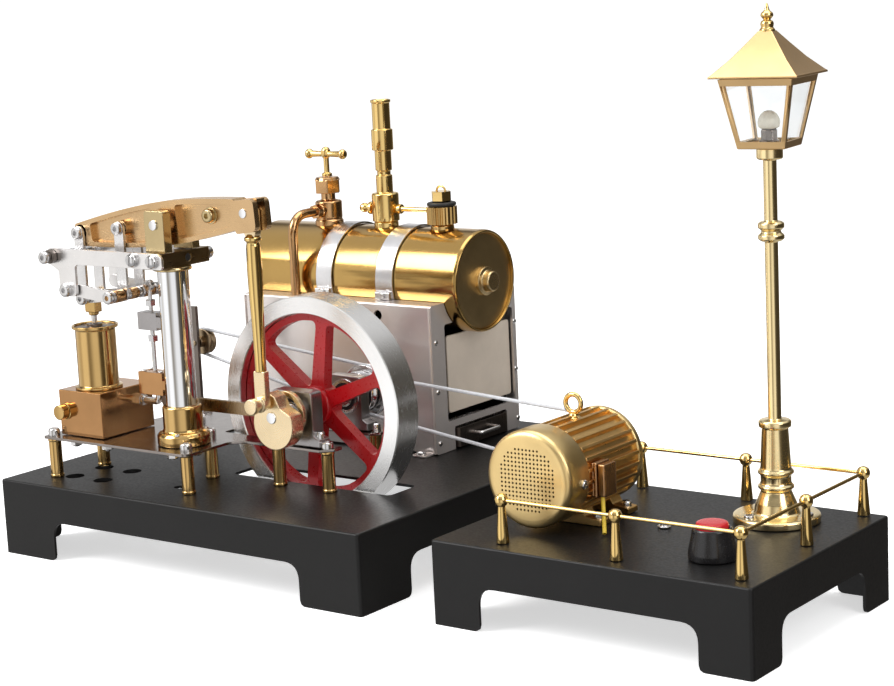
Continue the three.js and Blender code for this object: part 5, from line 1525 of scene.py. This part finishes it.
piece("generator_cover_cap", cover, "cover_gold", ["generator_cover"])
# A near-black disc just behind the perforated cover: painted shade of the generator's inside, seen through
# the holes.
behind = turned(
    Solid(), "y", MOTOR,
    [(0, front_y + 1.6), (15.4, front_y + 1.6), (15.4, front_y + 2.0), (0, front_y + 2.0)], 64
)
piece("generator_cover_painted_shade", behind, "black_inside")
case_screws = Solid()
pan_screw(case_screws, (MOTOR[0] + 18.8, 41.2, MOTOR[1] - 1.8), (1, 0, 0), 1.9, 1.2, 0.6, 0.5)
piece("generator_cover_screws", case_screws, "screw_steel")

section = []
fins = 26
for k in range(fins):
    middle = 2 * math.pi * (k + 0.5) / fins
    for turn_by, reach in (
        (-0.036, 18.6), (0.036, 18.6), (0.060, 16.7), (2 * math.pi / fins - 0.060, 16.7)
    ):
        section.append(polar(MOTOR, reach, middle + turn_by))
case = plate(Solid(), "xz", section, 45.8, 81.6)
piece("generator_case_fins", case, "case_gold", ["generator_body"], bevel=0.25, segments=3)
flange = turned(
    Solid(), "y", MOTOR,
    [
        (0, 81.5), (17.9, 81.5), (18.4, 82.0), (18.4, 84.2), (17.7, 84.7), (17.2, 85.3), (7, 85.4),
        (6.6, 84.6), (0, 84.6)
    ],
    96, 0.2
)
turned(flange, "y", MOTOR, [(0, 45.3), (18.0, 45.3), (18.0, 46.4), (0, 46.4)], 96, 0.2)
piece("generator_case_rings", flange, "cover_gold")
saddle = Solid()
for y in (50.5, 70.5):
    foot_face = rounded(
        [
            (MOTOR[0] - 19.5, BASE_H + 0.3, 0.4), (MOTOR[0] + 19.5, BASE_H + 0.3, 0.4),
            (MOTOR[0] + 19.5, BASE_H + 2.6, 0.8), (MOTOR[0] + 12.6, BASE_H + 3.4, 2),
            (MOTOR[0] + 10.6, MOTOR[1] - 13.4, 1), (MOTOR[0] - 10.6, MOTOR[1] - 13.4, 1),
            (MOTOR[0] - 12.6, BASE_H + 3.4, 2), (MOTOR[0] - 19.5, BASE_H + 2.6, 0.8)
        ],
        4
    )
    plate(saddle, "xz", foot_face, y, y + 7.0)
piece("generator_feet", saddle, "case_gold", bevel=0.3)
foot_bolts = Solid()
for y in (54.0, 74.0):
    for x in (MOTOR[0] - 16.6, MOTOR[0] + 16.6):
        socket_screw(foot_bolts, (x, y, BASE_H + 2.6), (0, 0, 1), 2.0, 2.2, 1.0, x)
piece("generator_foot_bolts", foot_bolts, "screw_steel")
terminal_case = block(Solid(), 270.6, 276.6, 48.4, 57.3, 45.2, 58.3)
block(terminal_case, 276.9, 278.2, 48.0, 57.5, 45.0, 58.5)
block(terminal_case, 278.5, 281.4, 48.5, 57.0, 45.5, 58.0)
piece("generator_terminal_box", terminal_case, "box_copper", bevel=0.6, segments=3)
lifting = Solid()
ring = [(x, 64.2, z) for x, z in circle(MOTOR[0], MOTOR[1] + MOTOR_R + 4.2, 3.5, 40)]
swept(lifting, ring, 1.0, 16, closed=True)
turned(
    lifting, "z", (MOTOR[0], 64.2), [(0, 69), (2.9, 69), (3.1, 71.2), (1.9, 71.9), (1.5, 73.0), (0, 73.2)],
    36, 0.3
)
piece("generator_lifting_eye", lifting, "gold")
rotor = grooved(Solid(), MOTOR, BELT_Y, 12.5)
rod(rotor, "y", MOTOR, 2.9, 79.0, 91.4, 36, 0.3)
for k in range(5):
    spot = polar(MOTOR, 7.2, 2 * math.pi * k / 5)
    turned(rotor, "y", spot, [(0, 90.2), (1.6, 90.2), (1.6, 90.4), (0, 90.5)], 24)
piece(
    "generator_pulley_wheel", rotor, "gold", ["generator_pulley"], body="generator_rotor",
)
wire = swept(
    Solid(), bend([(279.5, 50.0, 45.6, 0), (279.9, 49.4, 43.6, 1.6), (285.0, 41.8, BASE_H + 0.7, 0)], 8),
    0.8, 16
)
piece("generator_wire_lead", wire, "yellow_wire", ["generator_wire"])

# ---------------------------------------------------------------- fence, button
POSTS = [
    (259.6, 110.6), (307.3, 110.6), (357.3, 110.6), (357.3, 64), (357.3, 15.6), (306.6, 15.6), (257, 15.6)
]
RAIL_Z = 49.5
posts = Solid()
for at in POSTS:
    turned(
        posts, "z", at,
        [
            (0, BASE_H + 0.3), (2.5, BASE_H + 0.3), (1.45, BASE_H + 13.8), (1.5, BASE_H + 14.4),
            (2.1, BASE_H + 14.8), (2.55, BASE_H + 15.9), (2.6, BASE_H + 16.5), (2.55, BASE_H + 17.1),
            (2.0, BASE_H + 18.3), (1.1, BASE_H + 18.9), (0, BASE_H + 19.05)
        ],
        32, 0.2
    )
piece("fence_posts", posts, "gold", ["fence"])
rails = Solid()
for a, b in zip(POSTS, POSTS[1:]):
    swept(rails, [(*a, RAIL_Z), (*b, RAIL_Z)], 0.7, 14)
piece("fence_rails", rails, "gold")

cone = turned(
    Solid(), "z", BUTTON,
    [
        (0, BASE_H + 0.3), (8.9, BASE_H + 0.3), (8.9, 35.6), (8.6, 37.4), (7.9, 40.4), (7.4, 43.0),
        (7.3, 44.2), (6.8, 44.8), (6.2, 44.6), (6.15, 40)
    ],
    72, 0.4
)
piece("button_housing", cone, "black_plastic", ["button_body"])
cap = turned(
    Solid(), "z", BUTTON, [(0, 41.6), (5.9, 41.6), (5.9, 45.9), (5.6, 46.5), (4.8, 46.75), (0, 46.8)], 72,
    0.5
)
piece("button_top", cap, "red_plastic", ["button_cap"], body="button")

# ---------------------------------------------------------------- street lamp
lamp = turned(
    Solid(), "z", LAMP,
    [
        (0, BASE_H + 0.3), (16.6, BASE_H + 0.3), (16.6, 35.5), (16.2, 36.1), (15.0, 36.3), (9.4, 36.4),
        (8.7, 36.9), (8.4, 38.0), (7.7, 40.4), (6.5, 43.2), (5.8, 44.9), (6.0, 45.6), (6.8, 46.1),
        (6.8, 47.0), (6.1, 47.6), (5.8, 48.4), (5.8, 50.6), (6.1, 51.3), (6.8, 51.8), (6.8, 52.6),
        (6.0, 53.4), (5.8, 54.2), (5.0, 69.2), (6.1, 69.6), (6.2, 71.6), (5.6, 72.2), (2.5, 72.5),
        (2.5, 139.4), (3.9, 139.6), (4.9, 140.4), (4.9, 141.8), (3.7, 142.9), (3.7, 143.5), (4.9, 144.6),
        (4.9, 146.2), (3.9, 146.9), (2.5, 147.1), (2.5, 169.6), (4.4, 169.8), (4.9, 170.3), (4.9, 173.9),
        (0, 174.0)
    ],
    80, 0.3
)
piece("lamp_column", lamp, "lamp_gold", ["lamp_post"])
lamp_screws = Solid()
for k in range(3):
    spot = (*polar(LAMP, 12.6, math.radians(-115 + 120 * k)), 36.2)
    socket_screw(lamp_screws, spot, (0, 0, 1), 2.1, 1.1, 0.95, 0.4)
terminal = (299.2, 61.3)
turned(
    lamp_screws, "z", terminal,
    [
        (0, BASE_H + 0.2), (2.6, BASE_H + 0.3), (2.6, BASE_H + 0.9), (1.5, BASE_H + 1.0),
        (1.5, BASE_H + 2.2), (0, BASE_H + 2.3)
    ],
    32, 0.2
)
piece("lamp_base_screws", lamp_screws, "screw_steel")

LANTERN_TURN = math.radians(8)


def about_lamp(solid):
    c, s = math.cos(LANTERN_TURN), math.sin(LANTERN_TURN)
    solid.points = [(LAMP[0] + x * c - y * s, LAMP[1] + x * s + y * c, z) for x, y, z in solid.points]
    return solid


def frustum(solid, levels, low_cap):
    """A square tower: levels lists (half width, height)."""
    points = []
    for half, z in levels:
        points += [(-half, -half, z), (half, -half, z), (half, half, z), (-half, half, z)]
    faces = walls(4, len(levels))
    if low_cap:
        faces.append([0, 1, 2, 3])
    last = len(points) - 4
    return solid.add(points, faces + [[last + k for k in range(4)]])


LANTERN_LOW = (9.15, 174.6)
LANTERN_HIGH = (14.2, 199.9)


def lantern_half(z):
    share = (z - LANTERN_LOW[1]) / (LANTERN_HIGH[1] - LANTERN_LOW[1])
    return LANTERN_LOW[0] + (LANTERN_HIGH[0] - LANTERN_LOW[0]) * share


def quarter(points, k):
    """Points turned by k quarter turns round the lantern's axis."""
    c, s = math.cos(math.pi / 2 * k), math.sin(math.pi / 2 * k)
    return [(x * c - y * s, x * s + y * c, z) for x, y, z in points]


CAGE_FACES = [[0, 1, 2, 3], [4, 5, 6, 7], [0, 1, 5, 4], [1, 2, 6, 5], [2, 3, 7, 6], [3, 0, 4, 7]]

cage = Solid()
frustum(
    cage,
    [
        (8.8, 174.2), (lantern_half(174.5), 174.4), (lantern_half(175.8), 175.8),
        (lantern_half(175.8) - 1.3, 175.8), (0.1, 175.7)
    ],
    True
)
for k in range(4):
    for side in (-1, 1):
        z0, z1 = 174.7, 199.9
        wide = 1.7
        a, b = lantern_half(z0), lantern_half(z1)
        corner = [(a, z0), (a - wide, z0), (b - wide, z1), (b, z1)]
        face = [(side * x, -lantern_half(z), z) for x, z in corner]
        inner = [(side * (x - 0.5 if x > a - 0.2 else x), -lantern_half(z) + 0.8, z) for x, z in corner]
        cage.add(quarter(face + inner, k), CAGE_FACES)
    for z0, z1 in ((175.2, 176.9), (197.4, 199.9)):
        bar = []
        for z in (z0, z1):
            h = lantern_half(z)
            for across in (-h + 0.2, h - 0.2):
                bar += [(across, -h, z), (across, -h + 0.8, z)]
        quads = [[0, 2, 6, 4], [1, 3, 7, 5], [0, 1, 5, 4], [2, 3, 7, 6], [0, 1, 3, 2], [4, 5, 7, 6]]
        cage.add(quarter(bar, k), quads)
piece("lantern_cage", about_lamp(cage), "roof_gold", ["lantern_frame"], bevel=0.12)
panes = Solid()
for k in range(4):
    made = []
    for depth in (0.95, 1.35):
        for z, side in ((176.0, -1), (176.0, 1), (199.4, 1), (199.4, -1)):
            h = lantern_half(z)
            made.append((side * (h - 1.4), -h + depth, z))
    panes.add(quarter(made, k), CAGE_FACES)
piece("lantern_panes", about_lamp(panes), "lamp_glass", ["lantern_glass"])
holder = turned(
    Solid(), "z", LAMP,
    [(0, 175.9), (3.6, 175.9), (3.6, 176.7), (3.0, 177.0), (3.0, 180.4), (2.5, 181.0), (0, 181.0)], 40, 0.2
)
piece("lamp_socket", holder, "gunmetal")
bulb = turned(
    Solid(), "z", LAMP,
    [
        (0, 180.8), (2.5, 180.9), (3.9, 181.6), (4.2, 183.2), (3.9, 184.8), (3.0, 186.4), (1.6, 187.5),
        (0, 187.8)
    ],
    48, 0.4
)
piece("lamp_bulb_glass", bulb, "bulb", ["lamp_bulb"])

roof = Solid()
frustum(
    roof,
    [
        (15.6, 200.25), (17.0, 200.25), (17.0, 201.0), (16.3, 201.4), (11.0, 206.5), (6.2, 212.1),
        (2.6, 216.5)
    ],
    False
)
frustum(roof, [(15.6, 200.25), (15.4, 200.8), (10.2, 205.2), (5.4, 210.8)], False)
piece("lantern_roof_sheet", about_lamp(roof), "roof_gold", ["lantern_roof"], bevel=0.35, segments=3)
finial = turned(
    Solid(), "z", LAMP,
    [
        (0, 215.8), (2.9, 216.0), (2.9, 216.9), (2.2, 217.7), (2.5, 218.9), (2.2, 219.9), (1.2, 220.4),
        (1.7, 220.9), (2.4, 221.8), (2.2, 222.8), (1.1, 223.7), (0.8, 224.5), (0.35, 226.2), (0, 226.4)
    ],
    40, 0.3
)
piece("lantern_finial", finial, "gold")

# ---------------------------------------------------------------- every solid of the frame has its looks
left_over = sorted(set(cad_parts) - DONE)
for name in left_over:
    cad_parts[name].data.materials.clear()
    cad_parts[name].data.materials.append(look("turned_brass"))
if left_over:
    print("solids shown as they are:", left_over)

# ---------------------------------------------------------------- floor, light and camera
floor_mesh = bpy.data.meshes.new("floor")
floor_mesh.from_pydata([(-40, -40, 0), (40, -40, 0), (40, 40, 0), (-40, 40, 0)], [], [(0, 1, 2, 3)])
floor = bpy.data.objects.new("floor", floor_mesh)
bpy.context.scene.collection.objects.link(floor)
floor_material, _, floor_shader = nodes_of("pale_floor")
floor_shader.inputs["Base Color"].default_value = (0.90, 0.90, 0.90, 1)
floor_shader.inputs["Roughness"].default_value = 1.0
floor_shader.inputs["Specular IOR Level"].default_value = 0.0
floor_shader.inputs["Emission Color"].default_value = (1, 1, 1, 1)
floor_shader.inputs["Emission Strength"].default_value = 0.60
floor_mesh.materials.append(floor_material)
floor.visible_glossy = False

scene = bpy.context.scene
scene.view_settings.view_transform = "Standard"
scene.view_settings.look = "None"
scene.view_settings.exposure = 0.0

world = bpy.data.worlds.new("studio")
scene.world = world
world.use_nodes = True
sky = world.node_tree
sky.nodes.clear()
out = sky.nodes.new("ShaderNodeOutputWorld")


def backdrop(strength):
    node = sky.nodes.new("ShaderNodeBackground")
    node.inputs["Color"].default_value = (1, 1, 1, 1)
    node.inputs["Strength"].default_value = strength
    return node


def stops(factor, places):
    """A ramp through (place from 0 to 1, colour)."""
    node = sky.nodes.new("ShaderNodeValToRGB")
    node.color_ramp.interpolation = "EASE"
    ends = node.color_ramp.elements
    ends[0].position, ends[0].color = places[0][0], (*places[0][1], 1)
    ends[1].position, ends[1].color = places[-1][0], (*places[-1][1], 1)
    for place, colour in places[1:-1]:
        ends.new(place).color = (*colour, 1)
    link(sky, factor, node.inputs["Fac"])
    return node.outputs["Color"]


def grey(value, warm=0.0):
    return (value, value * (1 - 0.12 * warm), value * (1 - 0.3 * warm))


direction = sky.nodes.new("ShaderNodeTexCoord")
split = sky.nodes.new("ShaderNodeSeparateXYZ")
link(sky, direction.outputs["Generated"], split.inputs[0])
bearing_of = maths(sky, "ARCTAN2", split.outputs[1], split.outputs[0])
# The panels of the studio, by compass bearing in degrees: 0 is +X, 90 is +Y, 180 is -X.
PANELS = [
    (-180, 0.95, 0), (-162, 0.85, 0), (-146, 0.75, 0.3), (-128, 1.15, 0), (-104, 1.15, 0),
    (-88, 0.35, 0.6), (-55, 0.95, 0), (-38, 0.95, 0), (-22, 0.13, 1), (0, 0.05, 1), (50, 0.05, 1),
    (84, 0.11, 1), (108, 0.60, 0), (128, 0.88, 0), (146, 0.75, 0), (162, 0.28, 0.5), (180, 0.95, 0)
]
around = maths(sky, "ADD", maths(sky, "MULTIPLY", bearing_of, 0.5 / math.pi), 0.5)
panels = stops(around, [(0.5 + a / 360, grey(v, w)) for a, v, w in PANELS])
up = maths(sky, "ADD", maths(sky, "MULTIPLY", split.outputs[2], 0.5), 0.5)
ceiling = stops(
    up,
    [
        (0.0, grey(0.5)), (0.30, grey(0.45)), (0.64, grey(0.12, 0.5)), (0.74, grey(0.16, 0.5)),
        (0.80, grey(0.6)), (0.86, grey(0.8)), (1.0, grey(0.8))
    ]
)
share = stops(
    up,
    [
        (0.0, (1, 1, 1)), (0.22, (1, 1, 1)), (0.34, (0, 0, 0)), (0.64, (0, 0, 0)), (0.72, (1, 1, 1)),
        (1.0, (1, 1, 1))
    ]
)
blend = sky.nodes.new("ShaderNodeMixRGB")
link(sky, share, blend.inputs["Fac"])
link(sky, panels, blend.inputs["Color1"])
link(sky, ceiling, blend.inputs["Color2"])
room = backdrop(1.0)
link(sky, blend.outputs[0], room.inputs["Color"])
even = backdrop(0.50)
white = backdrop(1.0)
path = sky.nodes.new("ShaderNodeLightPath")
soft_or_sharp = sky.nodes.new("ShaderNodeMixShader")
link(sky, path.outputs["Is Diffuse Ray"], soft_or_sharp.inputs[0])
link(sky, room.outputs[0], soft_or_sharp.inputs[1])
link(sky, even.outputs[0], soft_or_sharp.inputs[2])
seen = sky.nodes.new("ShaderNodeMixShader")
straight = maths(sky, "MAXIMUM", path.outputs["Is Camera Ray"], path.outputs["Is Transmission Ray"])
link(sky, straight, seen.inputs[0])
link(sky, soft_or_sharp.outputs[0], seen.inputs[1])
link(sky, white.outputs[0], seen.inputs[2])
link(sky, seen.outputs[0], out.inputs["Surface"])


def softbox(name, place, width, height_, power):
    light = bpy.data.lights.new(name, "AREA")
    light.shape = "RECTANGLE"
    light.size = width
    light.size_y = height_
    light.energy = power
    holder = bpy.data.objects.new(name, light)
    bpy.context.scene.collection.objects.link(holder)
    holder.location = place
    holder.rotation_euler = (Vector(TARGET) - Vector(place)).to_track_quat("-Z", "Y").to_euler()
    holder.visible_camera = False


TARGET = (0.0, 0.0, 0.08)
softbox("key_left", (-0.75, -0.85, 0.95), 0.7, 0.7, 14)
softbox("fill_right", (1.2, -0.35, 0.75), 0.6, 0.8, 5)
softbox("overhead", (0.0, 0.15, 1.3), 1.2, 0.9, 8)

CAMERA_PLACE = (0.52425, -0.70840, 0.24810)
AZIMUTH = math.radians(36.961)
ELEVATION = math.radians(10.184)
ROLL = math.radians(-2.6877)
LENS = 86.4604
camera_data = bpy.data.cameras.new("camera")
camera_data.sensor_width = 36.0
camera_data.sensor_fit = "HORIZONTAL"
camera_data.lens = LENS
camera_data.clip_start = 0.01
camera_data.clip_end = 100
camera = bpy.data.objects.new("camera", camera_data)
bpy.context.scene.collection.objects.link(camera)
ahead = Vector(
    (
        -math.sin(AZIMUTH) * math.cos(ELEVATION), math.cos(AZIMUTH) * math.cos(ELEVATION),
        -math.sin(ELEVATION)
    )
)
flat_right = ahead.cross(Vector((0, 0, 1))).normalized()
flat_up = flat_right.cross(ahead)
right = flat_right * math.cos(ROLL) + flat_up * math.sin(ROLL)
up = flat_up * math.cos(ROLL) - flat_right * math.sin(ROLL)
camera.matrix_world = Matrix(
    (
        (right.x, up.x, -ahead.x, CAMERA_PLACE[0]), (right.y, up.y, -ahead.y, CAMERA_PLACE[1]),
        (right.z, up.z, -ahead.z, CAMERA_PLACE[2]), (0, 0, 0, 1)
    )
)
scene.camera = camera
